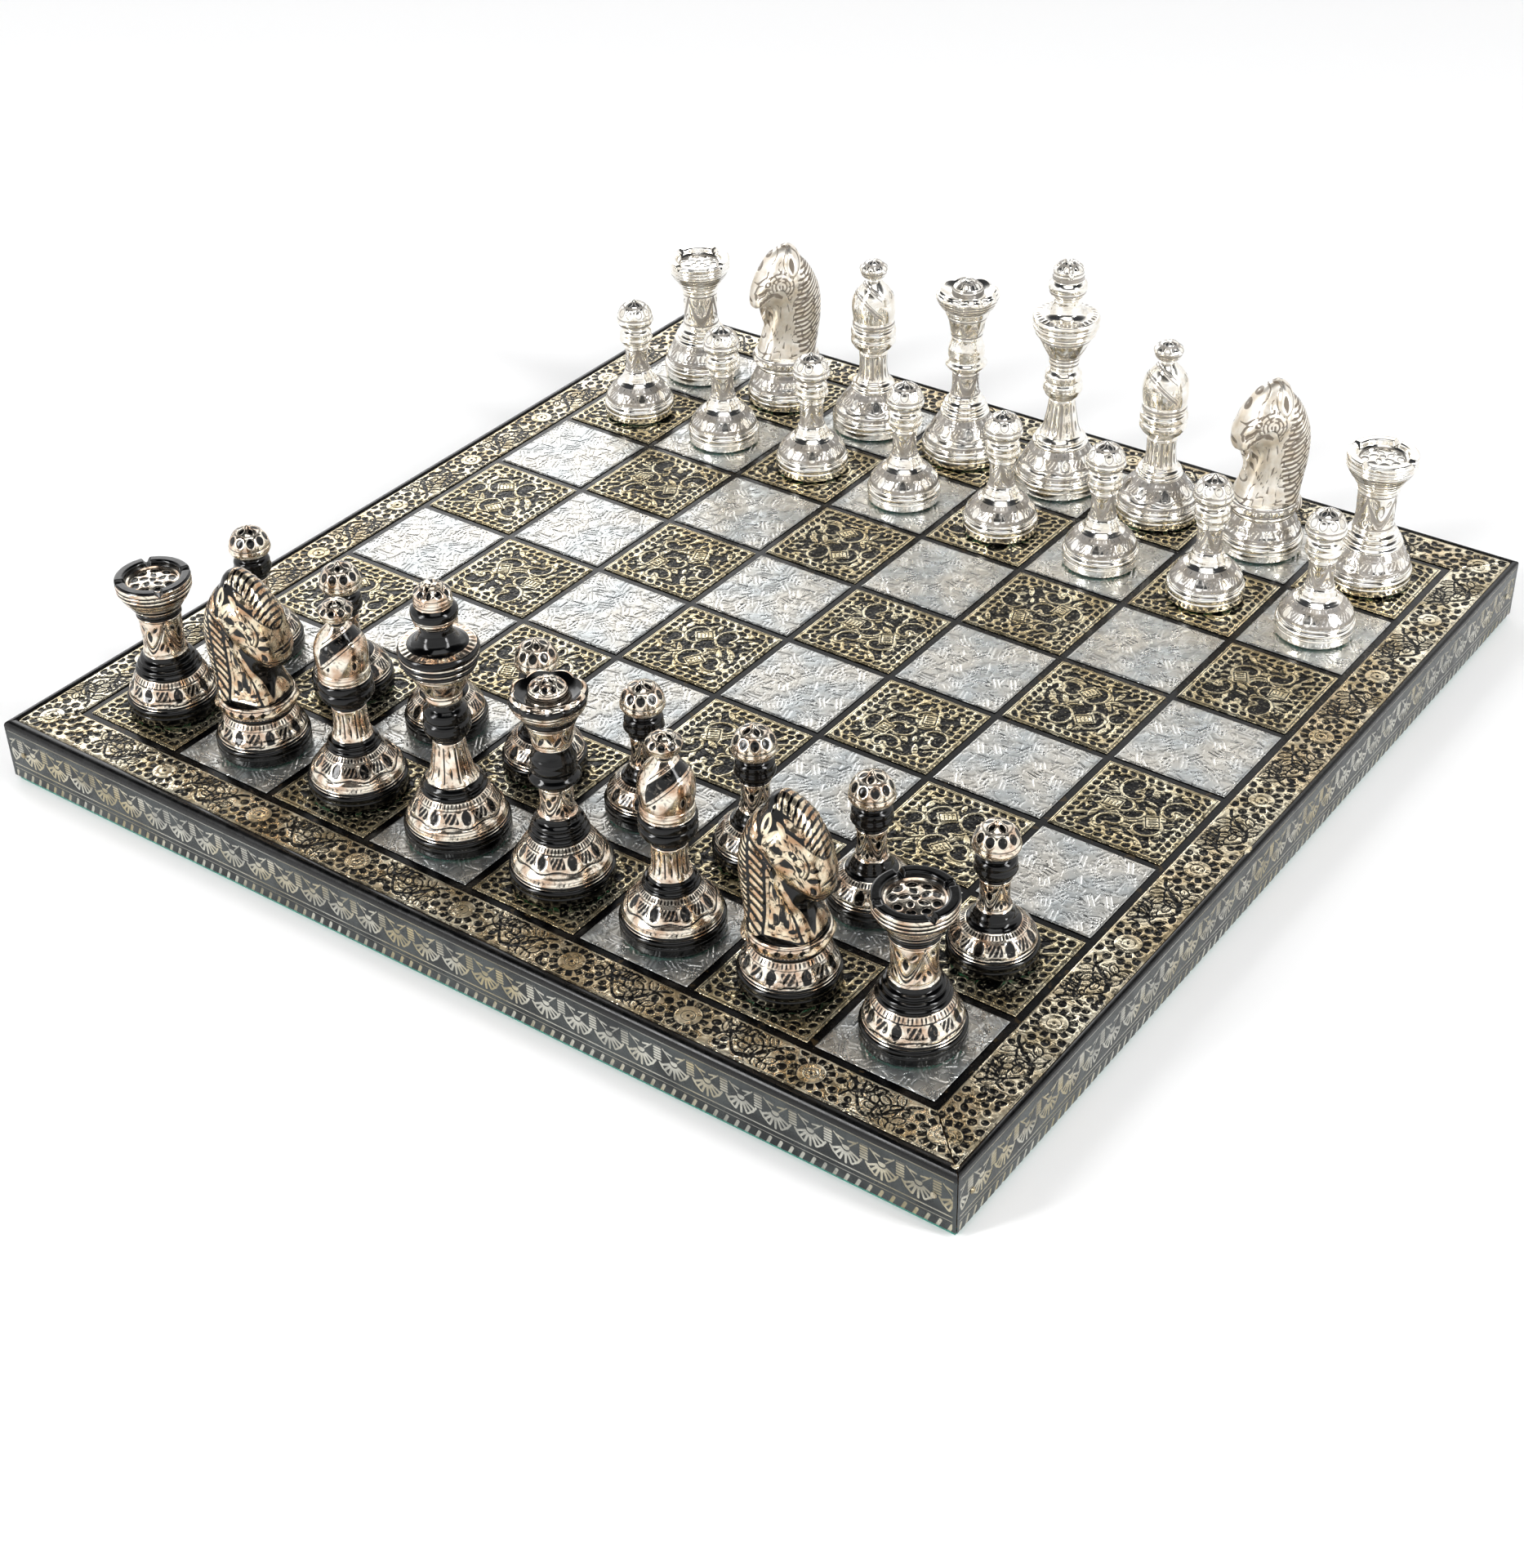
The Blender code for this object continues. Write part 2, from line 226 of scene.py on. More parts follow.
def scattered_seeds(x, y, ink, keep_out, seed, count, low, high):
    """Black seeds wherever the brass is still bare, by rejection sampling."""
    rng = np.random.default_rng(seed)
    placed = []
    for _ in range(count * 8):
        if len(placed) >= count:
            break
        px, py = rng.uniform(low[0], high[0]), rng.uniform(low[1], high[1])
        turn, size = rng.uniform(0, PI), rng.uniform(2.0, 3.4)
        if any(math.hypot(px - qx, py - qy) < 1.85 for qx, qy in placed):
            continue
        near = (abs(x - px) < 0.55) & (abs(y - py) < 0.55)
        if near.any() and ink[near].max() > -keep_out:
            continue
        placed.append((px, py))
        close = (abs(x - px) < 2) & (abs(y - py) < 2)
        ink[close] = union(ink[close], leaf(x[close], y[close], px, py, turn, size, 1.9))
    return ink


def haloed(ink, mark):
    """Adds a mark with a bare halo and a thin outline round it."""
    edged = union(mark, 0.16 - abs(mark + 0.82))
    return np.where(mark > -1.0, edged, ink)


def vines(x, y, half, phase):
    """Flowing thin lines: the zero contour of a few crossed waves."""
    field, dx, dy = np.zeros(np.shape(x)), np.zeros(np.shape(x)), np.zeros(np.shape(x))
    for fx, fy, shift in ((0.62, 0.21, 0.0), (-0.27, 0.66, 1.7), (0.48, -0.52, 3.1), (0.9, 0.75, 4.4)):
        wave = fx * x + fy * y + shift + phase
        field += np.sin(wave)
        dx += fx * np.cos(wave)
        dy += fy * np.cos(wave)
    return half - abs(field) / union(np.hypot(dx, dy), 0.3)


def edge_row(x, y, edge):
    """A row of drops that follows the rim of a square, edge being the distance inside it."""
    along = np.where(abs(x) > abs(y), y, x)
    drops = leaf(wrap(along, 2.65), edge, 0.0, 2.1, 0.5, 2.5, 1.7)
    return union(drops, 0.13 - abs(edge - 0.55))


def metal_islands(x, y, rng, reach, design):
    """Distance inside the nearest of many leaves of bare metal that lie along a swirling flow."""
    best = bare(x)
    placed = []
    for _ in range(700):
        px, py = rng.uniform(-reach, reach), rng.uniform(-reach, reach)
        length, width = rng.uniform(2.8, 6.4), rng.uniform(1.0, 1.9)
        if any(math.hypot(px - qx, py - qy) < 2.75 for qx, qy in placed):
            continue
        placed.append((px, py))
        turn = 1.5 * math.sin(0.2 * px + design) + 1.3 * math.cos(0.24 * py - design)
        turn += rng.normal(0, 0.35)
        close = (abs(x - px) < 4) & (abs(y - py) < 4)
        best[close] = union(best[close], leaf(x[close], y[close], px, py, turn, length, width))
    return best


def brass_square(x, y, design):
    """One of the dark squares: bare leaves on black, with commas, panels, sprigs and seeds."""
    half = (PITCH - GROOVE) / 2
    edge = half - union(abs(x), abs(y))
    rng = np.random.default_rng(40 + design)
    metal = metal_islands(x, y, rng, half - 4.2, design)
    cuts = shared(hatch(x, y, 0.7, 1.2, 0.12), np.sin(0.7 * x + design) * 0.6)
    inner = edge - 5.0 - 1.4 * np.sin(0.45 * (x + y) + design) - 1.2 * np.sin(0.5 * (x - y))
    ink = np.where(inner > 0, union(-metal, shared(cuts, metal - 0.25)), BARE)
    for k in range(6):
        a, reach = 2.4 * k + design, 1.0 + 4.2 * math.sqrt(k)
        cx, cy = reach * math.cos(a), reach * math.sin(a)
        curl = spiral(cx, cy, rng.uniform(2.2, 3.6), rng.uniform(0, 2 * PI), rng.uniform(1.8, 3.4))
        ink = haloed(ink, sweep(x, y, curl, rng.uniform(1.6, 2.5), 0.6))
    for k in range(2):
        a = 2.1 + 2.9 * k + design
        px, py, turn = 6.4 * math.cos(a), 6.4 * math.sin(a), rng.uniform(0, PI)
        u, v = local(x, y, px, py, turn)
        panel = shared(2.3 - abs(u), 1.8 - abs(v))
        bars = shared(hatch(u, v, PI / 2, 1.0, 0.15), panel - 0.7)
        ink = np.where(panel > -0.5, union(0.2 - abs(panel - 0.1), bars), ink)
        ink = union(ink, shared(sprig(x, y, -px, -py, a + 1.2, 8.5, 1.4), -ink - 0.5))
    ink = scattered_seeds(x, y, ink, 0.4, 100 + design, 240, (-half + 3.6,) * 2, (half - 3.6,) * 2)
    return np.where(edge < 3.3, edge_row(x, y, edge), ink)


def nickel_square(x, y, design):
    """One of the pale squares: sheaves of short graver strokes over thin wandering lines."""
    half = (PITCH - GROOVE) / 2
    edge = half - union(abs(x), abs(y))
    rng = np.random.default_rng(60 + design)
    ink = shared(vines(x, y, 0.13, 2.0 * design), 0.35 * np.sin(0.9 * x + 1.3 * y) + 0.1)
    for _ in range(85):
        cx, cy = rng.uniform(-half, half), rng.uniform(-half, half)
        turn, length = rng.uniform(0, PI), rng.uniform(1.3, 2.6)
        close = (abs(x - cx) < 4) & (abs(y - cy) < 4)
        u, v = local(x[close], y[close], cx, cy, turn)
        sheaf = union(*[stroke(u, v, (-length, k * 1.1), (length, k * 1.2 + 0.2), 0.3)
                        for k in range(rng.integers(1, 4))])
        ink[close] = union(ink[close], sheaf)
    return shared(ink, edge - 0.5)


def border_run(u, v, half):
    """The border strip: daisies joined by crossing stems. v is 0 on the strip's centre line."""
    ink = bare(u)
    first, step = 142.8, 34.5
    centres = [first - step * k for k in range(8)] + [-143.6]
    for number, cx in enumerate(centres):
        near = abs(u - cx) < 30
        if not near.any():
            continue
        a, b = u[near], v[near]
        part = daisy(a, b, cx, 0.1)
        stem = [(cx - 8 - 1.9 * k, 4.4 * math.cos(k * PI / 5)) for k in range(11)]
        if number < 8:
            part = union(part, sweep(a, b, stem, 0.5, 0.34),
                         sprig(a, b, cx - 9.0, 2.0, PI + 0.5, 8.5, 1.5),
                         sprig(a, b, cx - 25.5, -2.0, 0.5, 8.5, -1.5),
                         sprig(a, b, cx - 15.5, 4.0, PI + 0.1, 7.5, 0.9),
                         sprig(a, b, cx - 18.5, -4.2, 0.1, 7.5, -0.9))
        ink[near] = union(ink[near], part)
    edge = half - abs(v)
    ink = shared(ink, edge - 0.6)
    ink = union(ink, 0.12 - abs(edge - 0.42))
    return scattered_seeds(u, v, ink, 0.42, 7, 900, (-148, -half + 1.2), (148, half - 1.2))


def side_run(u, z):
    """The edge band's outer face, in bright cuts: lotus fans over a row of ticks."""
    down = TOP - z
    pitch = 9.5
    a = wrap(u, pitch)
    ink = bare(u)
    for k in range(-3, 4):
        lean = k * 0.36
        reach = 4.6 - 0.2 * abs(k)
        start = (1.5 * math.sin(lean), 7.4 + 1.5 * math.cos(lean))
        end = (reach * math.sin(lean), 7.4 + reach * math.cos(lean))
        ink = union(ink, stroke(a, down, start, end, 0.3))
    ink = union(ink, shared(disc(a, down, 0, 7.2, 1.0), down - 6.9))
    b = wrap(u - pitch / 2, pitch)
    block = shared(1.1 - abs(b), 2.1 - abs(down - 6.2))
    ink = union(ink, shared(hatch(b, down, 0.0, 0.8, 0.27), block))
    for side in (-1, 1):
        ink = union(ink, sweep(b * side, down, [(0.6, 8.8), (1.6, 10.4), (3.0, 11.6)], 0.3, 0.2),
                    stroke(a * side, down, (0.6, 5.3), (2.4, 4.9), 0.24),
                    stroke(a * side, down, (1.0, 6.6), (3.2, 4.3), 0.16))
    ink = union(ink, 0.16 - abs(down - 13.1), 0.10 - abs(down - 14.5))
    c = wrap(u, 3.02)
    ink = union(ink, stroke(c, down, (-0.5, 17.5), (0.35, 15.5), 0.42))
    return ink


# ---------------------------------------------------------------- engraving on turned work
# Each design takes the angle, the distance along the section, the radius and the section's length.

def around(a, r, count):
    """Millimetres round the surface to the nearest of count stations, and to the nearest gap."""
    step = 2 * PI / count
    return r * wrap(a, step), r * wrap(a + step / 2, step)


def dome_cuts(a, s, r, length):
    """The dome over the drum: ticks under the collar, black drops between hatched sheaves, a belt."""
    top = length - s
    step = PI / 4
    u, far = around(a, r, 8)
    ink = stroke(r * wrap(a, step / 7), top, (0, 0.45), (0, 1.5), 0.25)
    ink = union(ink, 0.15 - abs(top - 2.0), leaf(u, top, 0, 4.1, PI / 2, 4.1, 2.5),
                stroke(u, top, (-0.9, 5.6), (0.9, 5.6), 0.17))
    for shift in (-1.5, -0.75, 0.0, 0.75, 1.5):
        ink = union(ink, stroke(far, top, (shift - 0.25, 2.7), (shift + 0.5, 5.2), 0.25))
    ink = union(ink, 0.24 - abs(top - 6.5 - 0.45 * np.cos(a * 8)), 0.13 - abs(s - 1.25),
                stroke(r * wrap(a, step / 9), s, (0, 0.35), (0, 0.8), 0.14))
    return shared(ink, s - 0.2, top - 0.3)


def head_cuts(a, s, r, length):
    """A pawn's head or a finial: a ring of black ovals round the crown, ring lines at the rim."""
    step = 2 * PI / 10
    u = r * wrap(a, step)
    far = r * wrap(a + step / 2, 2 * step)
    top = length - s
    ink = union(0.16 - abs(s - 0.7), 0.15 - abs(s - 1.5))
    return union(ink, leaf(u, top, 0, length * 0.5, PI / 2, length * 0.24, length * 0.19),
                 0.2 - abs(top - length * 0.33),
                 leaf(far, top, 0, length * 0.2, PI / 2, length * 0.2, length * 0.13),
                 0.14 - abs(s - length * 0.3))


def stem_cuts(a, s, r, length):
    """A stem: nested arches with leaves and spots between two hatched collars."""
    u, far = around(a, r, 4)
    reach = r * PI / 4
    low, high = length * 0.14, length * 0.82
    arch = low + (high - low) * (abs(u) / reach) ** 1.7
    slope = np.sqrt(1 + (1.7 * (high - low) / reach) ** 2) * 0.7
    ink = 0.17 - abs(s - arch) / slope
    ink = union(ink, 0.15 - abs(s - arch - 1.3) / slope,
                leaf(u, s, 0, length * 0.56, PI / 2, length * 0.3, 1.5))
    for side in (-1, 1):
        ink = union(ink, leaf(u * side, s, reach * 0.45, length * 0.75, 0.9, 2.2, 0.9),
                    leaf(far * side, s, reach * 0.3, length * 0.3, 2.1, 2.6, 0.9))
    return union(ink, leaf(far, s, 0, length * 0.22, PI / 2, 1.8, 1.0), 0.13 - abs(s - 0.8),
                 0.13 - abs(length - s - 0.8))


def cup_cuts(a, s, r, length):
    """A cup: slanted leaves between ring lines."""
    u, far = around(a, r, 8)
    return union(leaf(u, s, 0, length * 0.45, 1.0, length * 0.5, 1.2),
                 leaf(far, s, 0, length * 0.5, 2.1, length * 0.4, 0.7),
                 0.14 - abs(length - s - 0.7), 0.14 - abs(s - 0.7))


def mitre_cuts(a, s, r, length):
    """A bishop's mitre: a slanted black band edged with bright lines, and leaf spots."""
    height = s / length
    across = r * np.sin(a)
    along = (height - 0.52) * length * 0.8 - r * np.cos(a) * 0.75
    band = 1.9 - abs(along)
    front = np.cos(a) > -0.35
    ink = np.where(front, union(band, 0.18 - abs(abs(along) - 2.8)), BARE)
    far = around(a, r, 6)[1]
    spots = leaves(far, s, [(0, length * 0.22, PI / 2, 2.6, 1.2), (0, length * 0.62, 1.2, 2.4, 1.1)])
    ink = union(ink, np.where(abs(along) > 3.4, spots, BARE),
                np.where(np.cos(a) < -0.2, leaf(across, s, 0, length * 0.5, 1.2, 5, 1.8), BARE))
    return ink


def band_cuts(a, s, r, length):
    """A row of dark spots between two lines, round a knight's base plate."""
    u = r * wrap(a, 2 * PI / 22)
    ink = leaf(u, s, 0, length * 0.5, PI / 2, 1.7, 1.5)
    return union(ink, 0.14 - abs(s - 0.9), 0.14 - abs(length - s - 0.9))


def plate_cuts(a, s, r, length):
    """A king's flat disc: short ticks all round."""
    fine = r * wrap(a, 2 * PI / 30)
    middle = length / 2
    return stroke(fine, s, (0, middle - 0.45), (0, middle + 0.45), 0.18)


def roof_cuts(a, s, r, length):
    """A ring of black ovals round a rook's sunken disc, with leaves towards its centre."""
    x, y = r * np.cos(a), r * np.sin(a)
    ink = disc(x, y, 0, 0, 0.8)
    u, v = r * np.cos(wrap(a, PI / 4.5)), r * np.sin(wrap(a, PI / 4.5))
    ink = union(ink, leaf(u, v, 5.0, 0, PI / 2, 2.5, 1.9), 0.13 - abs(r - 6.4))
    u, v = r * np.cos(wrap(a + 0.4, 2 * PI / 5)), r * np.sin(wrap(a + 0.4, 2 * PI / 5))
    return union(ink, leaf(u, v, 2.5, 0, 0.5, 2.6, 1.5))


def ring_cuts(a, s, r, length):
    """Ring lines at an even spacing."""
    return 0.17 - abs(wrap(s - 0.9, 1.25))


def flute_cuts(a, s, r, length):
    """Dark cuts down the valleys of a fluted stem, with short lozenges between."""
    u, far = around(a, r, 9)
    return union(stroke(u, s, (0, 1.2), (0, length - 1.2), 0.2),
                 leaf(far, s, 0, length * 0.3, PI / 2, 3.0, 0.55),
                 leaf(far, s, 0, length * 0.75, PI / 2, 2.2, 0.5))


# ---------------------------------------------------------------- chessmen profiles
# A section is its surface, then its points: LACQUER, PLAIN metal, or metal with the named cuts. It
# starts where the section before it ends. A point is (radius, height) or (radius, height, rise), where
# rise bows the run from the point before it outwards.

LACQUER = "lacquer"
PLAIN = "plain"


def foot(radius, neck_radius, neck_height):
    """The grooved black drum and the engraved dome that every chessman stands on."""
    shoulder = radius - 0.75
    return [
        (LACQUER, (radius - 0.5, PAD_THICKNESS), (radius, 0.7, 0.15), (radius, 2.6), (radius - 0.15, 2.7),
         (radius - 0.15, 2.95), (radius, 3.05), (radius, 4.1), (radius - 0.3, 4.5, 0.12),
         (radius - 0.7, 4.7)),
        (PLAIN, (radius - 0.7, 4.95)),
        (LACQUER, (radius - 0.5, 5.2, 0.08), (shoulder, 5.6, 0.1)),
        (dome_cuts, (radius * 0.86, 7.9, 0.3), (neck_radius, neck_height, 0.25)),
    ]


# The radius of each kind's foot, then the radius and height at which its dome ends.
FEET = {"pawn": (11.2, 6.6, 10.8), "rook": (12.5, 8.6, 12.0), "bishop": (13.0, 6.7, 13.2),
        "queen": (13.2, 7.2, 14.0), "king": (13.6, 8.1, 13.8), "knight": (12.5, 8.8, 11.6)}

UPPERS = {
    "pawn": [
        (LACQUER, (6.3, 11.2, 0.1), (5.0, 12.9, -0.35), (4.2, 14.6, -0.1)),
        (stem_cuts, (4.2, 15.0), (3.9, 15.2), (3.6, 19.5, -0.1), (3.7, 22.6), (4.0, 22.8), (4.0, 23.2)),
        (LACQUER, (3.7, 23.6), (4.1, 24.4), (4.9, 27.2, 0.75), (4.0, 29.4, 0.5), (3.8, 30.0),
         (4.4, 30.5)),
        (head_cuts, (5.6, 31.5, 0.25), (5.75, 32.6, 0.12), (0.9, 38.4, 1.35), (0, 39.0, 0.1)),
    ],
    "rook": [
        (LACQUER, (8.5, 12.9, 0.4), (7.9, 13.3), (7.9, 14.4, 0.4), (7.0, 14.8), (7.0, 15.9, 0.4),
         (6.1, 16.3), (5.9, 17.6)),
        (stem_cuts, (6.0, 17.9), (5.7, 18.2), (5.5, 23.5, -0.1), (5.7, 28.6), (6.0, 28.9), (6.0, 29.2)),
        (LACQUER, (5.7, 29.5), (6.0, 30.8, 0.2)),
        (PLAIN, (6.5, 31.3, 0.05), (6.9, 31.9)),
        (LACQUER, (7.3, 32.5), (7.5, 33.0)),
        (ring_cuts, (9.1, 35.2, 0.1), (9.4, 35.9)),
        (LACQUER, (9.2, 36.1), (9.3, 36.4)),
        (PLAIN, (9.8, 36.6, 0.05), (9.9, 37.3, 0.1)),
        (LACQUER, (9.75, 37.5), (9.75, 37.7)),
        (PLAIN, (10.0, 37.9), (10.0, 38.5, 0.05)),
        (LACQUER, (9.9, 38.6), (9.9, 38.8)),
        (PLAIN, (10.0, 38.9), (10.0, 39.9)),
        (LACQUER, (9.7, 40.4, 0.12), (8.0, 40.4), (7.4, 40.1, 0.1), (7.1, 38.9)),
        (roof_cuts, (6.9, 38.5), (0, 38.9, 0.15)),
    ],
    "bishop": [
        (LACQUER, (6.9, 14.0, 0.3), (6.2, 14.4), (6.3, 15.4, 0.35), (5.5, 15.8), (5.2, 16.5)),
        (flute_cuts, (5.2, 17.0), (4.9, 17.3), (4.4, 22, -0.1), (4.5, 25.6)),
        (LACQUER, (4.3, 26.2), (4.8, 27.0, -0.1), (6.6, 28.6, 0.3), (7.1, 30.0, 0.2), (6.7, 31.2, 0.2),
         (6.4, 31.4), (7.1, 32.6, 0.3), (6.5, 34.0, 0.3)),
        (ring_cuts, (6.3, 34.3), (6.7, 35.4, 0.2), (6.4, 36.8, 0.1)),
        (mitre_cuts, (2.2, 49.8, 2.3)),
        (LACQUER, (2.0, 50.4), (2.4, 50.9)),
        (head_cuts, (4.1, 52.4, 0.5), (3.3, 54.9, 0.7), (0, 56.2, 0.5)),
    ],
    "queen": [
        (LACQUER, (7.4, 15.1, 0.35), (6.7, 15.5), (6.8, 16.7, 0.35), (6.1, 17.1), (6.2, 18.3, 0.35),
         (5.4, 18.8), (4.9, 20.3, -0.1)),
        (stem_cuts, (4.8, 20.7), (4.4, 21.0), (4.1, 24.5, -0.05), (4.2, 28.3)),
        (LACQUER, (4.6, 29.0), (6.2, 30.4, 0.15), (6.4, 31.2, 0.15), (5.9, 31.8), (5.3, 33.0, -0.2),
         (5.6, 35.2, 0.25), (5.2, 37.4, 0.25), (4.9, 38.4), (4.7, 40.2, -0.1)),
        (cup_cuts, (4.9, 40.6, 0.1), (4.9, 41.4, 0.1), (5.2, 42.0), (6.4, 47.2, -0.2)),
        (LACQUER, (6.8, 47.9, 0.1), (6.9, 48.7, 0.1), (7.2, 49.2)),
        (ring_cuts, (9.4, 52.2, 0.3), (9.6, 53.0, 0.1)),
        (LACQUER, (9.7, 53.6, 0.1), (9.3, 54.5, 0.15)),
        (PLAIN, (8.8, 55.1, 0.15), (8.2, 55.2, 0.1)),
        (LACQUER, (6.0, 54.1, -0.15), (4.9, 53.6)),
        (head_cuts, (4.9, 54.6, 0.1), (3.8, 56.7, 0.4), (1.2, 58.1, 0.3), (0, 58.7, 0.3)),
    ],
    "king": [
        (LACQUER, (8.2, 14.9, 0.35), (7.5, 15.3), (7.4, 16.3, 0.3), (6.7, 17.0)),
        (flute_cuts, (6.4, 17.4), (5.0, 22.0, -0.25), (4.0, 28.6, -0.1)),
        (LACQUER, (4.1, 29.4), (5.6, 31.2, 0.35), (5.9, 33.0, 0.3), (5.4, 34.4, 0.2), (5.1, 34.7),
         (5.6, 36.2, 0.3), (4.9, 37.8, 0.25), (4.2, 38.4), (4.1, 39.8)),
        (ring_cuts, (4.6, 40.4, 0.1), (4.5, 41.4, 0.1), (4.7, 42.4)),
        (cup_cuts, (8.2, 49.4, 0.15)),
        (LACQUER, (8.8, 49.9), (9.1, 50.7, 0.2), (8.9, 51.1)),
        (PLAIN, (9.1, 51.3), (9.1, 51.5)),
        (LACQUER, (9.6, 51.9), (9.8, 52.9, 0.2), (9.6, 53.2)),
        (PLAIN, (9.75, 53.4), (9.75, 53.7)),
        (LACQUER, (9.9, 54.2), (9.8, 55.3, 0.2), (9.4, 55.8, 0.1)),
        (plate_cuts, (7.6, 56.2, 0.05)),
        (LACQUER, (6.6, 56.4), (4.6, 58.6, -0.35), (4.0, 60.6, -0.2), (3.8, 61.2), (4.4, 61.8, 0.1)),
        (ring_cuts, (5.6, 64.0, 0.3)),
        (LACQUER, (5.8, 65.0, 0.1), (5.3, 66.4, 0.2), (4.6, 67.0)),
        (head_cuts, (4.7, 67.6, 0.1), (4.6, 69.2, 0.1), (3.4, 71.6, 0.45), (0, 72.9, 0.45)),
    ],
    "knight": [
        (LACQUER, (9.2, 12.3, 0.25), (8.8, 12.9, 0.2), (9.6, 13.2)),
        (band_cuts, (10.2, 13.7, 0.1), (10.3, 16.2, 0.25), (9.7, 16.9, 0.1)),
        (LACQUER, (8.6, 17.3, 0.05), (0, 17.9)),
    ],
}


# ---------------------------------------------------------------- meshes from rows of points

def layered(*coordinates):
    return np.stack(coordinates, axis=2)


def grid_mesh(name, rows, ink=BARE, lacquer=0.0, closed=False):
    """A smooth mesh over rows of points (rows, columns, 3), with its marks stored on its points.

    closed joins each row's last point to its first, as on turned work."""
    count, width = rows.shape[:2]
    column = np.arange(width if closed else width - 1)
    after = (column + 1) % width
    faces = []
    for k in range(count - 1):
        low, high = k * width, (k + 1) * width
        faces.append(np.stack([low + column, low + after, high + after, high + column], axis=1))
    faces = np.concatenate(faces)
    mesh = bpy.data.meshes.new(name)
    mesh.vertices.add(count * width)
    mesh.vertices.foreach_set("co", (rows * MM).astype(np.float32).ravel())
    mesh.loops.add(faces.size)
    mesh.loops.foreach_set("vertex_index", faces.astype(np.int32).ravel())
    mesh.polygons.add(len(faces))
    mesh.polygons.foreach_set("loop_start", np.arange(0, faces.size, 4, dtype=np.int32))
    mesh.update(calc_edges=True)
    for label, values in (("ink", ink), ("lacquer", lacquer)):
        layer = mesh.attributes.new(label, "FLOAT", "POINT")
        values = np.broadcast_to(values, rows.shape[:2])
        layer.data.foreach_set("value", values.astype(np.float32).ravel())
    mesh.shade_smooth()
    return mesh


def bowed(start, end, rise, spacing):
    """Points after start up to end on a bow, about spacing apart."""
    length = math.hypot(end[0] - start[0], end[1] - start[1])
    count = max(1, round(length / spacing))
    t = np.arange(1, count + 1) / count
    bow = rise * np.sin(PI * t)
    nr, nz = (end[1] - start[1]) / length, -(end[0] - start[0]) / length
    r = start[0] + (end[0] - start[0]) * t + nr * bow
    z = start[1] + (end[1] - start[1]) * t + nz * bow
    return np.stack([r, z], axis=1)


def section_points(points, spacing):
    rows = [np.array([points[0][:2]], float)]
    for before, after in zip(points, points[1:]):
        rise = after[2] if len(after) > 2 else 0.0
        rows.append(bowed(before, after, rise, spacing))
    return np.concatenate(rows)


def turned_rows(profile, spacing, columns):
    """Every row of a turned shape: radius, height, the angles round it, ink and lacquer."""
    angle = np.arange(columns) * 2 * PI / columns
    r_all, z_all, ink_all, lacquer_all = [], [], [], []
    start = (0, PAD_THICKNESS)
    for surface, *points in profile:
        line = section_points([start] + points, spacing)
        start = points[-1]
        s = np.concatenate([[0], np.cumsum(np.hypot(*np.diff(line, axis=0).T))])
        a, ss = np.meshgrid(angle, s)
        rr = np.broadcast_to(line[:, :1], a.shape)
        ink_all.append(bare(a) if surface in (LACQUER, PLAIN) else surface(a, ss, rr, s[-1]))
        r_all.append(line[:, 0])
        z_all.append(line[:, 1])
        lacquer_all.append(np.full(len(s), float(surface == LACQUER)))
    r, z = np.concatenate(r_all), np.concatenate(z_all)
    ink, lacquer = np.concatenate(ink_all), np.concatenate(lacquer_all)
    return r, z, angle, ink, lacquer


def reshape(kind, r, z, angle):
    """Departures from the round: notches, lobes, flutes and the cross cut in the king's crown."""
    if kind == "rook":
        near = abs(wrap(angle - PI / 4, PI / 2)) * r
        deep = (1 - smooth(near, 0.5, 0.85)) * smooth(z, 38.9, 39.1) * smooth(r, 7.0, 7.2)
        z = z - deep * (z - 38.9)
    if kind == "queen":
        lobes = smooth(r, 7.0, 9.4) * smooth(z, 49.5, 52.5)
        r = r - lobes * 1.0 * (1 - abs(np.cos(angle * 4)) ** 0.7)
        z = z - lobes * 0.8 * (1 - abs(np.cos(angle * 4)))
    if kind == "king":
        flute = smooth(z, 17.6, 19) * (1 - smooth(z, 27, 28.4))
        r = r * (1 - flute * 0.05 * (1 - abs(np.cos(angle * 4.5))))
        crown = smooth(z, 68.6, 69.4)
        x, y = r * np.cos(angle), r * np.sin(angle)
        slot = 1 - smooth(shared(abs(x), abs(y)), 0.35, 0.75)
        z = z - crown * slot * 0.9
    if kind == "bishop":
        flute = smooth(z, 17.6, 18.6) * (1 - smooth(z, 24.4, 25.4))
        r = r * (1 - flute * 0.05 * (1 - abs(np.cos(angle * 4.5))))
    return r, z


def turned_mesh(kind, spacing=0.34, columns=132):
    r, z, angle, ink, lacquer = turned_rows(foot(*FEET[kind]) + UPPERS[kind], spacing, columns)
    a, rr = np.meshgrid(angle, r)
    zz = np.broadcast_to(z[:, None], a.shape)
    rr, zz = reshape(kind, rr, zz, a)
    dr, dz = np.gradient(r), np.gradient(z)
    scale = union(np.hypot(dr, dz), 1e-6)
    depth = ENGRAVED_DEPTH * cut(ink)
    rr = union(rr - depth * (dz / scale)[:, None], 0)
    zz = zz + depth * (dr / scale)[:, None]
    rows = layered(rr * np.cos(a), rr * np.sin(a), zz)
    return grid_mesh(kind, rows, ink, lacquer[:, None], closed=True)


# ---------------------------------------------------------------- the knight's head

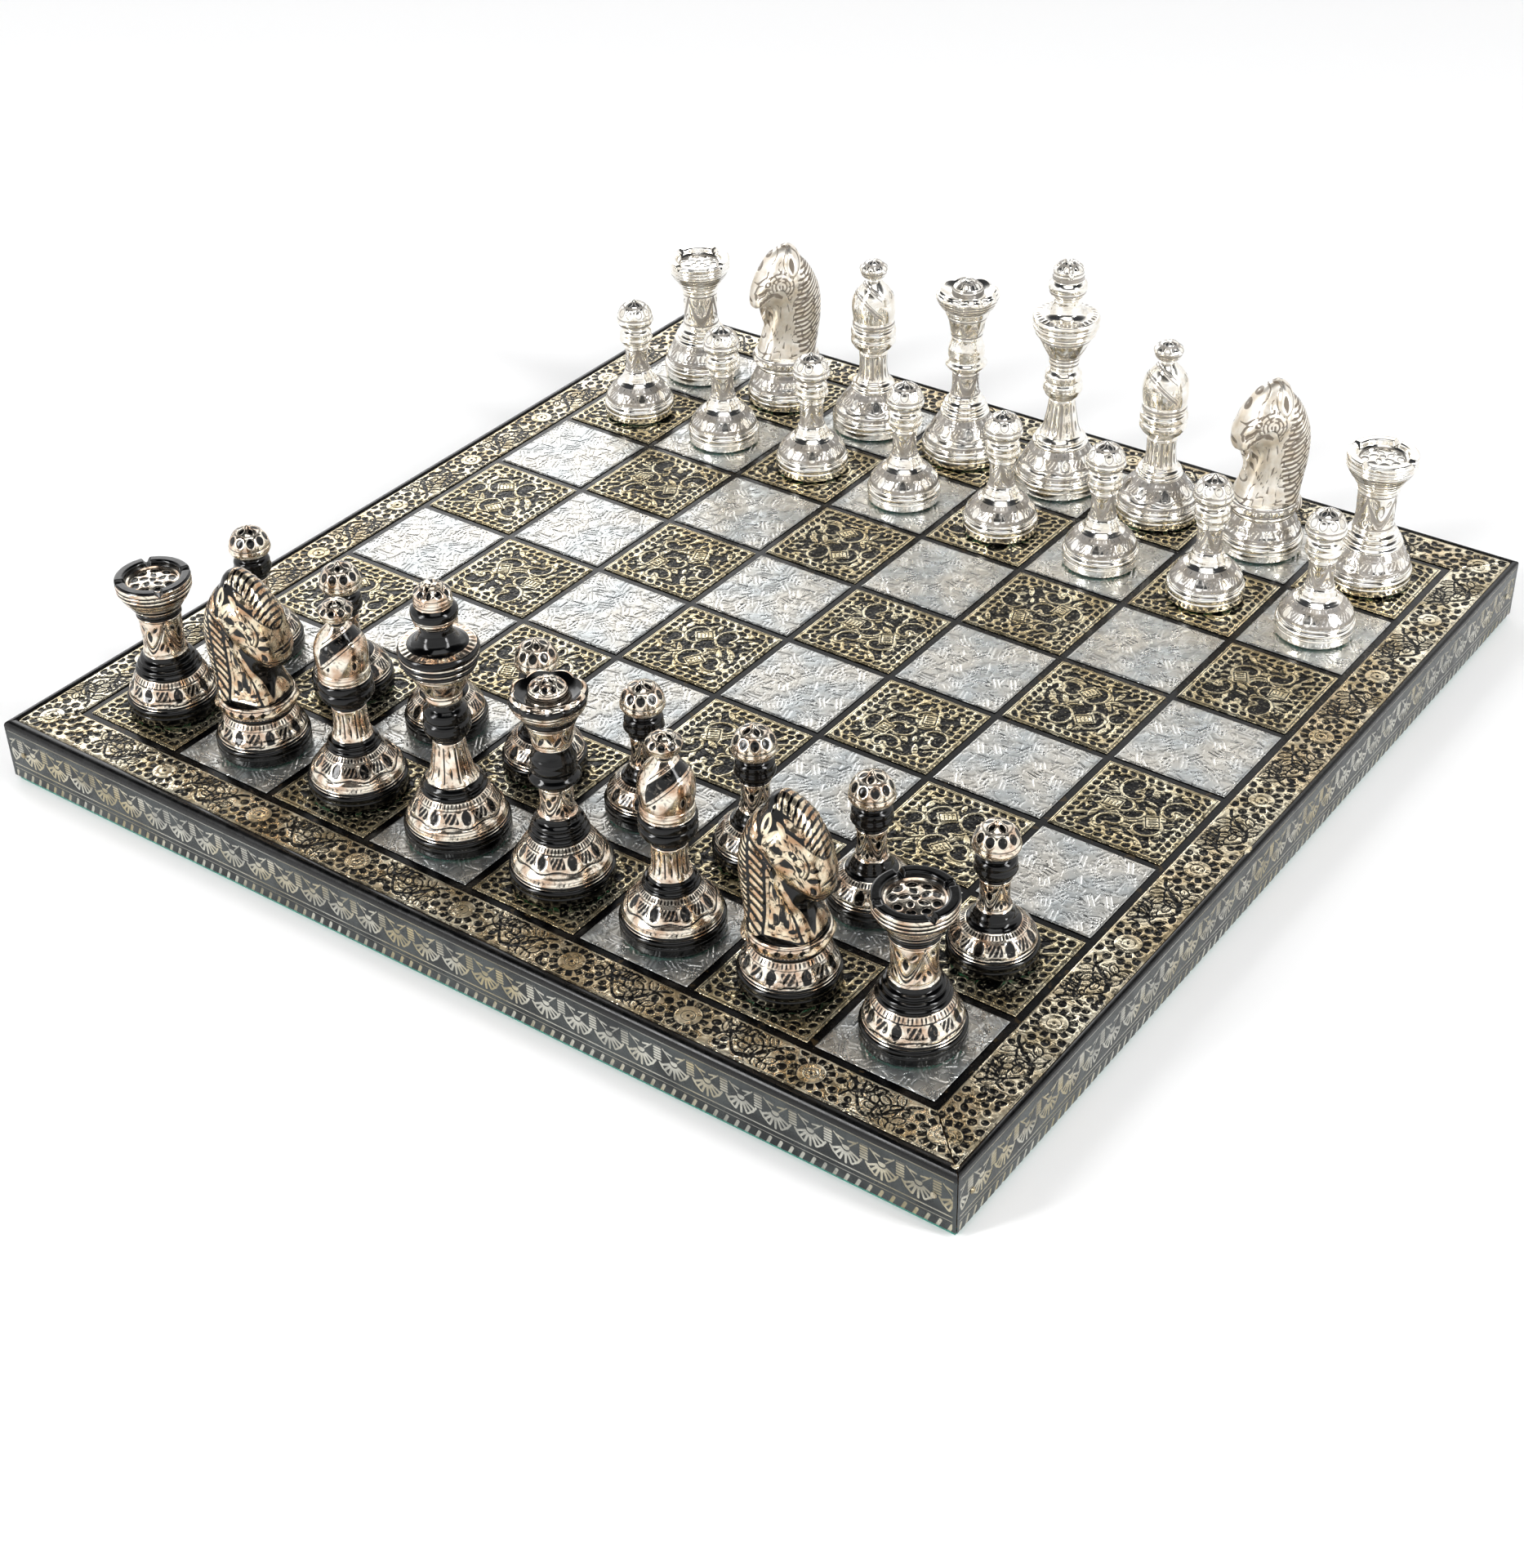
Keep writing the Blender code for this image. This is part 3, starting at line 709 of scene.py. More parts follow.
HORSE_HALF = 6.0
HORSE_BACK = [
    (7.4, 46.8), (5.0, 50.2), (2.2, 52.2), (-0.8, 53.3), (-3.4, 52.3), (-5.2, 49.2), (-7.6, 46.4),
    (-9.9, 42.2), (-11.4, 36.8), (-11.5, 29.6), (-10.7, 23.2), (-9.7, 17.2), (-9.6, 14.6),
]
TUCKED_OUTLINE = [
    (9.4, 14.6), (9.2, 17.2), (8.2, 20.4), (7.0, 23.4), (6.6, 25.6), (7.4, 27.2), (9.2, 27.3),
    (10.8, 28.0), (11.5, 30.0), (11.3, 33.6), (10.4, 38.0), (9.2, 42.6),
] + HORSE_BACK
RAISED_OUTLINE = [
    (9.4, 14.6), (9.2, 17.2), (8.2, 20.4), (7.2, 24.0), (6.3, 28.0), (5.6, 31.4), (6.2, 33.2),
    (8.4, 32.8), (10.4, 32.9), (11.3, 34.6), (10.9, 38.2), (9.4, 42.8),
] + HORSE_BACK
HORSE_SPINE = [
    (-0.4, 15.0), (-1.6, 22.0), (-2.2, 30.0), (-1.4, 36.0), (0.6, 40.6), (3.6, 40.4), (6.4, 36.8),
    (8.4, 32.8),
]


def smooth_path(points, spacing, closed):
    """An evenly spaced Catmull-Rom curve through points."""
    p = np.array(points, float)
    count = len(p)
    pieces = []
    for k in range(count if closed else count - 1):
        if closed:
            a, b, c, d = (p[(k + j) % count] for j in (-1, 0, 1, 2))
        else:
            a, b, c, d = (p[min(max(k + j, 0), count - 1)] for j in (-1, 0, 1, 2))
        t = np.linspace(0, 1, 24, endpoint=False)[:, None]
        pieces.append(0.5 * (2 * b + (c - a) * t + (2 * a - 5 * b + 4 * c - d) * t ** 2
                             + (3 * b - a - 3 * c + d) * t ** 3))
    line = np.concatenate(pieces + [p[:1] if closed else p[-1:]])
    run = np.concatenate([[0], np.cumsum(np.hypot(*np.diff(line, axis=0).T))])
    stations = np.linspace(0, run[-1], max(2, round(run[-1] / spacing)) + 1)
    spaced = np.stack([np.interp(stations, run, line[:, k]) for k in (0, 1)], axis=1)
    return spaced[:-1] if closed else spaced


def ear_mark(f, z, length, width):
    return leaf(f, z, -2.6, 47.6, 1.3, length, width)


def head_marks(u, v):
    """Cuts over the head, u from the poll down to the nose and v from the jaw out to the forehead."""
    cheek = (1 - np.hypot((u + 3.0) / 5.8, v / 4.2)) * 4.8
    ink = union(0.17 - abs(cheek), 0.12 - abs(cheek - 0.8), leaves(u, v, [
        (-6.4, 0.0, 0.5, 3.2, 1.9), (-3.2, -0.6, -0.3, 3.6, 1.8), (-0.4, 0.8, 0.5, 3.0, 1.6),
        (-4.4, -2.4, 0.2, 3.0, 1.2), (4.4, 1.0, 0.4, 3.0, 1.3), (6.4, -0.8, -0.4, 2.6, 1.1),
        (3.6, -1.6, 0.1, 2.6, 1.0), (7.4, 1.3, 0.9, 1.8, 0.8), (2.7, 2.7, 0.2, 2.2, 0.9)]))
    eye = leaf(u, v, -3.4, 2.5, 0.1, 3.0, 1.6)
    ink = np.where(eye > -0.3, shared(eye, -disc(u, v, -3.3, 2.5, 0.4)), ink)
    ink = union(ink, disc(u, v, 8.7, 0.8, 0.6))
    return union(ink, sweep(u, v, [(10.0, -1.0), (8.2, -1.4), (6.8, -2.1)], 0.24, 0.14)), cheek


def neck_marks(f, z):
    """Cuts over the neck panel: a flower in the middle and sprigs in its corners."""
    flower = disc(f, z, 1.0, 22.6, 0.9)
    for k in range(5):
        a = k * 2 * PI / 5 + 0.3
        petal = leaf(f, z, 1.0 + 2.0 * math.cos(a), 22.6 + 2.0 * math.sin(a), a, 2.2, 1.4)
        flower = union(flower, petal)
    return union(flower, leaves(f, z, [
        (-0.8, 28.4, 1.7, 3.8, 1.5), (-1.4, 32.0, 1.9, 2.6, 1.0), (0.6, 27.0, 1.1, 2.2, 0.9),
        (3.8, 19.6, 0.2, 2.4, 1.0), (-1.2, 19.6, 2.7, 2.2, 1.0)]))


def horse_marks(f, z, depth_in, run):
    """Ink, black ground and relief over the side of the head and neck.

    f is forward, depth_in the distance inside the outline, run the distance along the outline."""
    u, v = local(f, z, 5.0, 37.6, -PI / 4)
    head = (1 - np.hypot(u / 10.6, v / (4.9 - 0.14 * u))) * 4.4
    on_head, cheek = head_marks(u, v)
    slant = 0.897 * (5.6 - f) + 0.443 * (18.6 - z)
    above = shared(z - 17.6, -head - 0.55)
    panel = shared(f + 2.9, slant, above)
    strap = shared(0.75 - abs(slant + 1.45), above)
    mane = shared(0.52 - abs(wrap((z + f) / 1.414, 1.75)), 1.65 - abs(f + 5.2), z - 16.4,
                -ear_mark(f, z, 12.0, 6.4) - 0.2)
    ridge = shared(-7.6 - f, 0.45 - abs(wrap(z + 0.6 * f, 1.6)))
    on_face = (f > -1.5) & (z > 29)
    beads = shared(0.4 - abs(wrap(run + 0.9 * depth_in, 1.9)) * 0.75, 2.1 - depth_in)
    beads = shared(np.where(on_face, beads, BARE), -head - 0.25)
    locks = leaves(f, z, [(2.8, 48.0, -0.75, 4.4, 1.5), (0.8, 47.0, -0.95, 3.6, 1.5),
                          (5.0, 46.6, -0.7, 3.4, 1.5)])
    ear = ear_mark(f, z, 6.0, 2.4)
    chest = stroke(f, z, (7.4, 23.4), (8.7, 18.4), 0.3)
    ink = np.where(head > 0, on_head, BARE)
    ink = np.where(panel > 0, union(neck_marks(f, z), 0.15 - abs(panel - 0.7)), ink)
    ink = union(ink, ear_mark(f, z, 3.6, 0.9))
    skirt = 17.1 - z
    ink = np.where(skirt > 0, 0.16 - abs(skirt - 0.5), ink)
    copper = np.max([head, panel, strap, mane, ridge, beads, locks, ear, chest, skirt], axis=0)
    relief = 0.9 * smooth(head, -0.3, 1.2) + 0.35 * smooth(cheek, -0.4, 0.8) * smooth(head, -0.2, 0.2)
    for height, mark, low, high in (
            (0.35, mane, -0.3, 0.3), (0.3, beads, -0.2, 0.2), (0.3, strap, -0.2, 0.3),
            (-0.25, panel, -0.3, 0.3), (0.4, locks, -0.3, 0.4),
            (0.7, ear_mark(f, z, 8.0, 4.4), -0.3, 0.6), (0.25, ridge, -0.2, 0.3)):
        relief = relief + height * smooth(mark, low, high)
    return ink, 0.5 - copper / 0.6, relief


def satin_horse_marks(f, z, depth_in, run):
    """The silver knights' head: a swirled cheek, a tall ear and a mane of long slanted cuts."""
    u, v = local(f, z, 4.4, 40.4, -0.66)
    head = (1 - np.hypot((u - 0.4) / 9.2, v / (5.6 - 0.2 * u))) * 5.2
    cheek = np.hypot(u + 3.2, v + 0.6)
    ink = np.where(cheek < 4.9, 0.24 - abs(wrap(cheek - 0.6, 1.15)), BARE)
    for k in range(5):
        for reach in (0.0, 2.3):
            ink = union(ink, leaf(u, v, 0.6 + 1.2 * k, 1.3 - reach, 0.5 - 0.3 * k, 2.1, 0.8))
    ink = np.where(head > 0, ink, BARE)
    hair = shared(vines(f * 1.7, z * 1.7, 0.3, 0.4) / 1.7, abs(head - 0.2) - 0.2)
    ink = union(ink, np.where(u < 5.5, hair, BARE))
    eye = leaf(u, v, -0.4, 2.6, -0.1, 2.8, 1.5)
    ink = np.where(eye > -0.3, shared(eye, -disc(u, v, -0.4, 2.6, 0.4)), ink)
    ink = union(ink, disc(u, v, 8.0, 0.6, 0.55),
                sweep(u, v, [(9.0, -1.8), (7.4, -2.0), (6.0, -2.7)], 0.22, 0.12))
    border = -2.2 - 0.16 * abs(z - 30) - f
    mane = shared(border, -head - 0.2)
    wave = wrap(z + 0.75 * f + 0.8 * np.sin(f * 0.7), 1.6)
    ink = union(ink, shared(0.3 - abs(wave) * 0.8, mane))
    rosette = leaf(f, z, 4.6, 31.0, 0.4, 2.2, 1.2)
    for k in range(4):
        rosette = union(rosette, leaf(f, z, 1.5 + 1.3 * k, 21.0 + 2.2 * k, 1.0, 2.4, 0.7))
    rosette = union(rosette, shared(vines(f * 1.5, z * 1.5, 0.26, 1.0) / 1.5, f + 3.4))
    ink = union(ink, shared(rosette, -head - 0.3, 44 - z))
    ear = leaf(f, z, -2.0, 48.6, 1.45, 9.0, 5.0)
    ink = np.where(ear > -0.4, union(leaf(f, z, -2.0, 48.2, 1.45, 5.2, 1.6), 0.15 - abs(ear)), ink)
    relief = 1.1 * smooth(head, -0.3, 1.6) + 0.5 * smooth(4.9 - cheek, -0.3, 2.0) * smooth(head, 0, 0.5)
    relief = relief + 0.25 * smooth(mane, 0, 0.8) * np.cos(wave * 2 * PI / 1.6)
    relief = relief + 1.1 * smooth(ear, -0.3, 0.8) + 0.4 * smooth(eye, -0.3, 0.5)
    relief = relief + 0.5 * smooth(disc(u, v, 7.4, 0.2, 3.0), -0.2, 0.8)
    return ink, np.zeros(np.shape(f)), relief


def horse_mesh(name, corners, draw_marks):
    outline = smooth_path(corners, 0.36, closed=True)
    # The straight cut at the base closes the curve between its last and first points.
    spine = smooth_path(HORSE_SPINE, 0.25, closed=False)
    place = np.array([np.argmin(np.hypot(*(spine - p).T)) for p in outline], float)
    kernel = np.ones(15) / 15
    place = np.convolve(np.concatenate([place[-7:], place, place[:7]]), kernel, mode="valid")
    inner = np.stack([np.interp(place, np.arange(len(spine)), spine[:, k]) for k in (0, 1)], axis=1)
    steps = 26
    t = (np.arange(steps) / (steps - 1))[:, None, None] ** 1.25
    flat = outline[None] * (1 - t) + inner[None] * t
    f, z = flat[..., 0], flat[..., 1]
    points = flat.reshape(-1, 2)
    sides = outline[outline[:, 1] > 14.9]
    gap = np.array([np.min(np.hypot(*(sides - p).T)) for p in points]).reshape(f.shape)
    along = np.array([np.argmin(np.hypot(*(outline - p).T)) for p in points]).reshape(f.shape) * 0.36
    ink, ground, relief = draw_marks(f, z, gap, along)
    round_in = np.clip(gap / 4.2, 0, 1)
    half = HORSE_HALF * np.sqrt(1 - (1 - round_in) ** 2)
    half *= 1 - 0.28 * smooth(z, 40, 52) + 0.3 * (1 - smooth(z, 16, 24))
    half += relief * smooth(gap, 0.2, 1.4) - ENGRAVED_DEPTH * cut(ink) * (gap > 0.1)
    half[0] = 0
    front = layered(f, -half, z)
    back = layered(f, half, z)[1:]
    rows = np.concatenate([front[::-1], back])
    marks = np.concatenate([ink[::-1], ink[1:]])
    grounds = np.clip(np.concatenate([ground[::-1], ground[1:]]), 0, 1)
    return grid_mesh(name, rows, marks, grounds, closed=True)


# ---------------------------------------------------------------- the board

def panel_mesh(name, line, draw, design, depth):
    """A flat square engraved with a numbered design, whose rim drops into the groove round it."""
    u, v = np.meshgrid(line, line)
    ink = draw(u, v, design)
    edge = shared(u - u[0, 0], u[0, -1] - u, v - v[0, 0], v[-1, 0] - v)
    z = -depth * cut(ink) - 0.25 * (1 - smooth(edge, 0.0, 0.35))
    return grid_mesh(f"{name}_{design}", layered(u, v, z), ink)


def even(low, high, spacing):
    return np.linspace(low, high, round(abs(high - low) / spacing) + 1)


def square_meshes():
    half = (PITCH - GROOVE) / 2
    fine, coarse = even(-half, half, CELL), even(-half, half, CELL * 1.3)
    dark = [panel_mesh("brass_square", fine, brass_square, k, ENGRAVED_DEPTH) for k in range(3)]
    light = [panel_mesh("nickel_square", coarse, nickel_square, k, STROKE_DEPTH) for k in range(2)]
    return dark, light


def add_piece(name, mesh, place, turn, body, look):
    obj = bpy.data.objects.new(name, mesh)
    bpy.context.scene.collection.objects.link(obj)
    obj.location = [c * MM for c in place]
    obj.rotation_euler.z = turn
    if not mesh.materials:
        mesh.materials.append(None)
    obj.material_slots[0].link = "OBJECT"
    obj.material_slots[0].material = look
    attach(obj, body)
    return obj


def add_field(looks):
    """Sixty-four chased squares over the lacquered grooves of the field sheet."""
    dark, light = square_meshes()
    for row in range(8):
        for col in range(8):
            place = ((col - 3.5) * PITCH, (row - 3.5) * PITCH, TOP - SEAT)
            name = f"square_{'abcdefgh'[col]}{row + 1}"
            if (row + col) % 2 == 0:
                mesh, look = dark[(row * 3 + col) % 3], looks["brass"]
            else:
                mesh, look = light[(row + col * 3) % 2], looks["nickel"]
            turn = ((row * 5 + col * 3) % 4) * PI / 2
            add_piece(name, mesh, place, turn, "board", look)


def strip_mesh(lip_width):
    outer = HALF - lip_width - 0.3
    middle = (STRIP_INNER + outer) / 2
    half = (outer - STRIP_INNER) / 2
    v = even(-half, half, CELL)
    u = even(-1, 1, CELL / HALF)
    uu, vv = np.meshgrid(u, v)
    out = middle - vv
    x = uu * (out - 0.15)
    ink = border_run(x, vv, half)
    edge = shared(half - abs(vv), (1 - abs(uu)) * out)
    z = TOP - ENGRAVED_DEPTH * cut(ink) - 0.25 * (1 - smooth(edge, 0, 0.3))
    return grid_mesh("border_strip", layered(x, -out, z), ink)


def band_mesh(lip_width, radius):
    """The edge band: lip, rounded rim and engraved outer face in one run."""
    angle = np.linspace(PI / 2, 0, 9)
    rim = np.stack([HALF - radius * (1 - np.cos(angle)), TOP - radius * (1 - np.sin(angle))], axis=1)
    inner = HALF - lip_width
    lip = np.array([[inner, TOP - 0.7], [inner, TOP - 0.1], [inner + 0.1, TOP]])
    face = even(TOP - radius - 0.3, BAND_BOTTOM, CELL)
    face = np.stack([np.full(len(face), HALF), face], axis=1)
    tail = np.array([[HALF, BAND_BOTTOM], [HALF - 0.8, BAND_BOTTOM]])
    line = np.concatenate([lip, rim, face, tail[1:]])
    u = even(-1, 1, CELL / HALF)
    uu, out = np.meshgrid(u, line[:, 0])
    z = np.broadcast_to(line[:, 1:], out.shape)
    x = uu * (out - 0.15)
    ink = side_run(x, z)
    flat = (abs(out - HALF) < 0.01) & (z < TOP - radius - 1.4)
    ink = np.where(flat, ink, BARE)
    ink = union(ink, np.where(abs(out - HALF) < 0.01, 0.12 - abs(TOP - radius - 1.2 - z), BARE))
    ink = shared(ink, HALF - 1.2 - abs(x))
    out = out - 0.1 * cut(ink)
    rim_black = (out < HALF - 0.15) | (z > TOP - radius - 1.0)
    return grid_mesh("edge_band", layered(x, -out, z), ink, rim_black)


def add_frame(looks):
    strips = {side: strip_mesh(width) for side, (width, radius) in LIPS.items()}
    bands = {side: band_mesh(width, radius) for side, (width, radius) in LIPS.items()}
    for quarter, side in enumerate(("front", "right", "back", "left")):
        turn = quarter * PI / 2
        like = "front" if side in ("front", "left") else "right"
        strip, band = strips[like], bands[like]
        border = add_piece(f"engraved_strip_{side}", strip, (0, 0, 0), turn, "board",
                           looks["border"])
        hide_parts(f"border_strip_{side}")
        edge = add_piece(f"engraved_band_{side}", band, (0, 0, 0), turn, "board",
                         looks["band"])
        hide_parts(f"edge_band_{side}")


def add_grooves(looks):
    """The lacquered ground under the squares, which shows as the grooves between them."""
    line = even(-FIELD_HALF - GROOVE, FIELD_HALF + GROOVE, PITCH / 8)
    x, y = np.meshgrid(line, line)
    z = np.full(x.shape, TOP - GROOVE_DEPTH)
    mesh = grid_mesh("groove_ground", layered(x, y, z), lacquer=1.0)
    ground = add_piece("groove_ground", mesh, (0, 0, 0), 0, "board", looks["groove"])
    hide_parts("field_sheet")


def blob_mesh(name, length, width, height, seed):
    """A small irregular mound, such as a drop of solder or a bare fleck in the lacquer."""
    rng = np.random.default_rng(seed)
    a, t = np.meshgrid(np.arange(40) * PI / 20, even(0.02, 1, 0.07))
    ragged = np.ones(a.shape)
    for k in range(2, 7):
        ragged += rng.uniform(-0.11, 0.11) * np.cos(k * a + rng.uniform(0, 2 * PI))
    x, y = length / 2 * t * ragged * np.cos(a), width / 2 * t * ragged * np.sin(a)
    z = height * (1 - t ** 2.5)
    return grid_mesh(name, layered(x, y, z)[::-1], closed=True)


def add_flaws(looks):
    """A drop of solder on the near corner and a rubbed-through fleck in the right-hand lip."""
    drop = blob_mesh("solder_drop", 1.7, 1.4, 0.25, 3)
    fleck = blob_mesh("lip_fleck", 1.1, 3.6, 0.04, 5)
    for name, mesh, place, turn in (
            ("corner_solder", drop, (HALF - 2.1, -HALF + 2.1, TOP - SEAT), 0.4),
            ("lip_fleck", fleck, (HALF - 1.45, -16.0, TOP), 0)):
        add_piece(name, mesh, place, turn, "board", looks["border"])


# ---------------------------------------------------------------- chessmen on the board

def add_chessmen(looks):
    meshes = {kind: turned_mesh(kind) for kind in FEET}
    pads = {kind: pad_mesh(FEET[kind][0]) for kind in FEET}
    horses = {"black": horse_mesh("enamelled_horse", TUCKED_OUTLINE, horse_marks),
              "silver": horse_mesh("satin_horse", RAISED_OUTLINE, satin_horse_marks)}
    for colour, row in (("black", 0), ("silver", 7)):
        horse, head_look = horses[colour], looks[f"{colour}_head"]
        facing = FACING[colour]
        seen = {}
        for col, kind in enumerate(BACK_RANK[colour]):
            seen[kind] = seen.get(kind, 0) + 1
            single = kind in ("king", "queen")
            name = f"{colour}_{kind}" if single else f"{colour}_{kind}_{seen[kind]}"
            add_chessman(name, kind, meshes[kind], horse, (col, row), facing, looks[colour],
                         head_look, pads[kind], looks["felt"])
        for col in range(8):
            pawn_row = row + (1 if colour == "black" else -1)
            add_chessman(f"{colour}_pawn_{col + 1}", "pawn", meshes["pawn"], horse, (col, pawn_row),
                         0.7 * col, looks[colour], head_look, pads["pawn"], looks["felt"])


def pad_mesh(radius):
    """A felt disc with a softly rounded edge."""
    edge = radius - 0.7
    line = np.concatenate([even(0.01, edge - 0.1, 0.8), [edge, edge + 0.08, edge, edge - 0.1, 0.01]])
    high = np.concatenate([np.full(len(line) - 5, PAD_THICKNESS), [0.22, 0.14, 0.04, 0, 0]])
    a, r = np.meshgrid(np.arange(64) * PI / 32, line)
    z = np.broadcast_to(high[:, None], a.shape)
    rows = layered(r * np.cos(a), r * np.sin(a), z)[::-1]
    return grid_mesh(f"pad_{radius}", rows, closed=True)


def add_chessman(name, kind, mesh, horse, square, facing, look, head_look, pad, felt_look):
    place = ((square[0] - 3.5) * PITCH, (square[1] - 3.5) * PITCH, TOP + CHESSMAN_GAP)
    turned = add_piece(f"{name}_turned", mesh, place, facing, name, look)
    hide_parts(name)
    add_piece(f"{name}_pad", pad, place, facing, name, felt_look)
    if kind == "knight":
        add_piece(f"{name}_head", horse, place, facing, name, head_look)


# ---------------------------------------------------------------- materials

class Nodes:
    """Short names for the shader nodes that the materials share."""

    def __init__(self, name):
        self.material = bpy.data.materials.new(name)
        self.material.use_nodes = True
        self.tree = self.material.node_tree
        self.shader = self.tree.nodes["Principled BSDF"]

    def put(self, socket, value):
        if isinstance(value, bpy.types.NodeSocket):
            self.tree.links.new(value, socket)
        else:
            socket.default_value = value

    def new(self, kind, inputs, output=0, **settings):
        node = self.tree.nodes.new(kind)
        for key, value in settings.items():
            setattr(node, key, value)
        for key, value in inputs.items():
            self.put(node.inputs[key], value)
        return node.outputs[output]

    def math(self, operation, a, b=0.0, clamp=False):
        return self.new("ShaderNodeMath", {0: a, 1: b}, operation=operation, use_clamp=clamp)

    def mix(self, factor, a, b):
        return self.new("ShaderNodeMix", {0: factor, 6: a, 7: b}, output=2, data_type="RGBA")

    def blend(self, factor, a, b):
        return self.new("ShaderNodeMix", {0: factor, 2: a, 3: b}, output=0, data_type="FLOAT")

    def ramp(self, value, low, high, start=0.0, end=1.0):
        return self.new("ShaderNodeMapRange", {0: value, 1: low, 2: high, 3: start, 4: end},
                        interpolation_type="SMOOTHSTEP")

    def place(self, stretch=(1, 1, 1), turn=(0, 0, 0)):
        where = self.new("ShaderNodeTexCoord", {}, output="Object")
        return self.new("ShaderNodeMapping", {"Vector": where, "Scale": stretch, "Rotation": turn})

    def noise(self, scale, detail=2.0, stretch=(1, 1, 1), turn=(0, 0, 0), warp=0.0):
        return self.new("ShaderNodeTexNoise", {"Vector": self.place(stretch, turn), "Scale": scale,
                                               "Detail": detail, "Distortion": warp})

    def patches(self, scale, detail, low, high, start=0.0, end=1.0, warp=0.0):
        """Soft-edged patches of noise, from start up to end."""
        return self.ramp(self.noise(scale, detail, warp=warp), low, high, start, end)

    def cells(self, scale, feature="F1", vector=None):
        return self.new("ShaderNodeTexVoronoi", {"Vector": vector or self.place(), "Scale": scale},
                        feature=feature)

    def attribute(self, name):
        return self.new("ShaderNodeAttribute", {}, output="Fac", attribute_name=name)

    def bump(self, height, distance, strength=1.0, under=None):
        inputs = {"Height": height, "Distance": distance, "Strength": strength}
        if under is not None:
            inputs["Normal"] = under
        return self.new("ShaderNodeBump", inputs)

    def set(self, **inputs):
        for key, value in inputs.items():
            self.put(self.shader.inputs[key.replace("_", " ")], value)


def rgb(red, green, blue):
    """A colour given as it appears, 0 to 255, in linear light."""
    return tuple((c / 255) ** 2.2 for c in (red, green, blue)) + (1.0,)


def enamelled(name, metal, tarnish, fill, shine, fill_strength=1.0, lacquer_strength=1.0,
              mottling=0.3, outlined=False):
    """Bright metal whose engraved marks, and whole zones, are filled with glossy enamel.

    outlined leaves only a dark line round each mark."""
    n = Nodes(name)
    mark = n.attribute("ink")
    if outlined:
        mark = n.math("SUBTRACT", 0.12, n.math("ABSOLUTE", mark))
    ink = n.ramp(mark, -0.07, 0.07, 0.0, fill_strength)
    zone = n.ramp(n.attribute("lacquer"), 0.4, 0.6, 0.0, lacquer_strength)
    covered = n.math("MAXIMUM", ink, zone)
    cloud = n.noise(260, 3)
    worn = n.patches(900, 4, 0.55, 0.75, 0.0, 0.2, warp=0.6)
    bright = n.mix(n.ramp(cloud, 0.35, 0.7), metal, tarnish)
    mottle = n.patches(560, 4, 0.54, 0.64, 0.0, mottling, warp=1.2)
    bright = n.mix(mottle, bright, fill)
    rubbed = n.math("SUBTRACT", covered, n.math("MULTIPLY", worn, ink), clamp=True)
    smudge = n.patches(420, 3, 0.3, 0.75, 0.0, 0.10)
    n.set(Base_Color=n.mix(rubbed, bright, fill), Metallic=n.math("SUBTRACT", 1.0, rubbed, clamp=True),
          Roughness=n.math("ADD", n.blend(rubbed, shine, 0.09), smudge),
          Specular_IOR_Level=n.blend(rubbed, 0.5, 0.36),
          Normal=n.bump(n.noise(1500, 3), 0.00002, 0.5))
    return n.material


def chased(name, metal, bright, tint):
    """Board brass: cut lines filled black, the metal between them dull here and polished there."""
    n = Nodes(name)
    fill = rgb(5, 5, 7)
    ink = n.ramp(n.attribute("ink"), -0.06, 0.06)
    flecks = n.ramp(n.cells(700), 0.1, 0.5)
    tone = n.mix(n.patches(110, 3, 0.35, 0.65), metal, bright)
    tone = n.mix(n.patches(38, 2, 0.45, 0.7, 0.0, 0.6), tone, tint)
    tone = n.mix(n.math("MULTIPLY", n.math("SUBTRACT", 1.0, flecks), 0.25), tone, fill)
    chips = n.patches(1400, 3, 0.56, 0.74, 0.0, 0.5)
    covered = n.math("SUBTRACT", ink, n.math("MULTIPLY", chips, ink), clamp=True)
    cuts = n.noise(2600, 2, stretch=(1, 0.12, 1), turn=(0, 0, 0.6))
    n.set(Base_Color=n.mix(covered, tone, fill), Metallic=n.math("SUBTRACT", 1.0, covered, clamp=True),
          Roughness=n.blend(covered, n.math("ADD", 0.22, n.patches(300, 2, 0.3, 0.7, -0.08, 0.12)), 0.3),
          Specular_IOR_Level=n.blend(covered, 0.5, 0.16),
          Normal=n.bump(n.noise(480, 2), 0.0004, 1.0, n.bump(cuts, 0.00006, 0.8)))
    return n.material


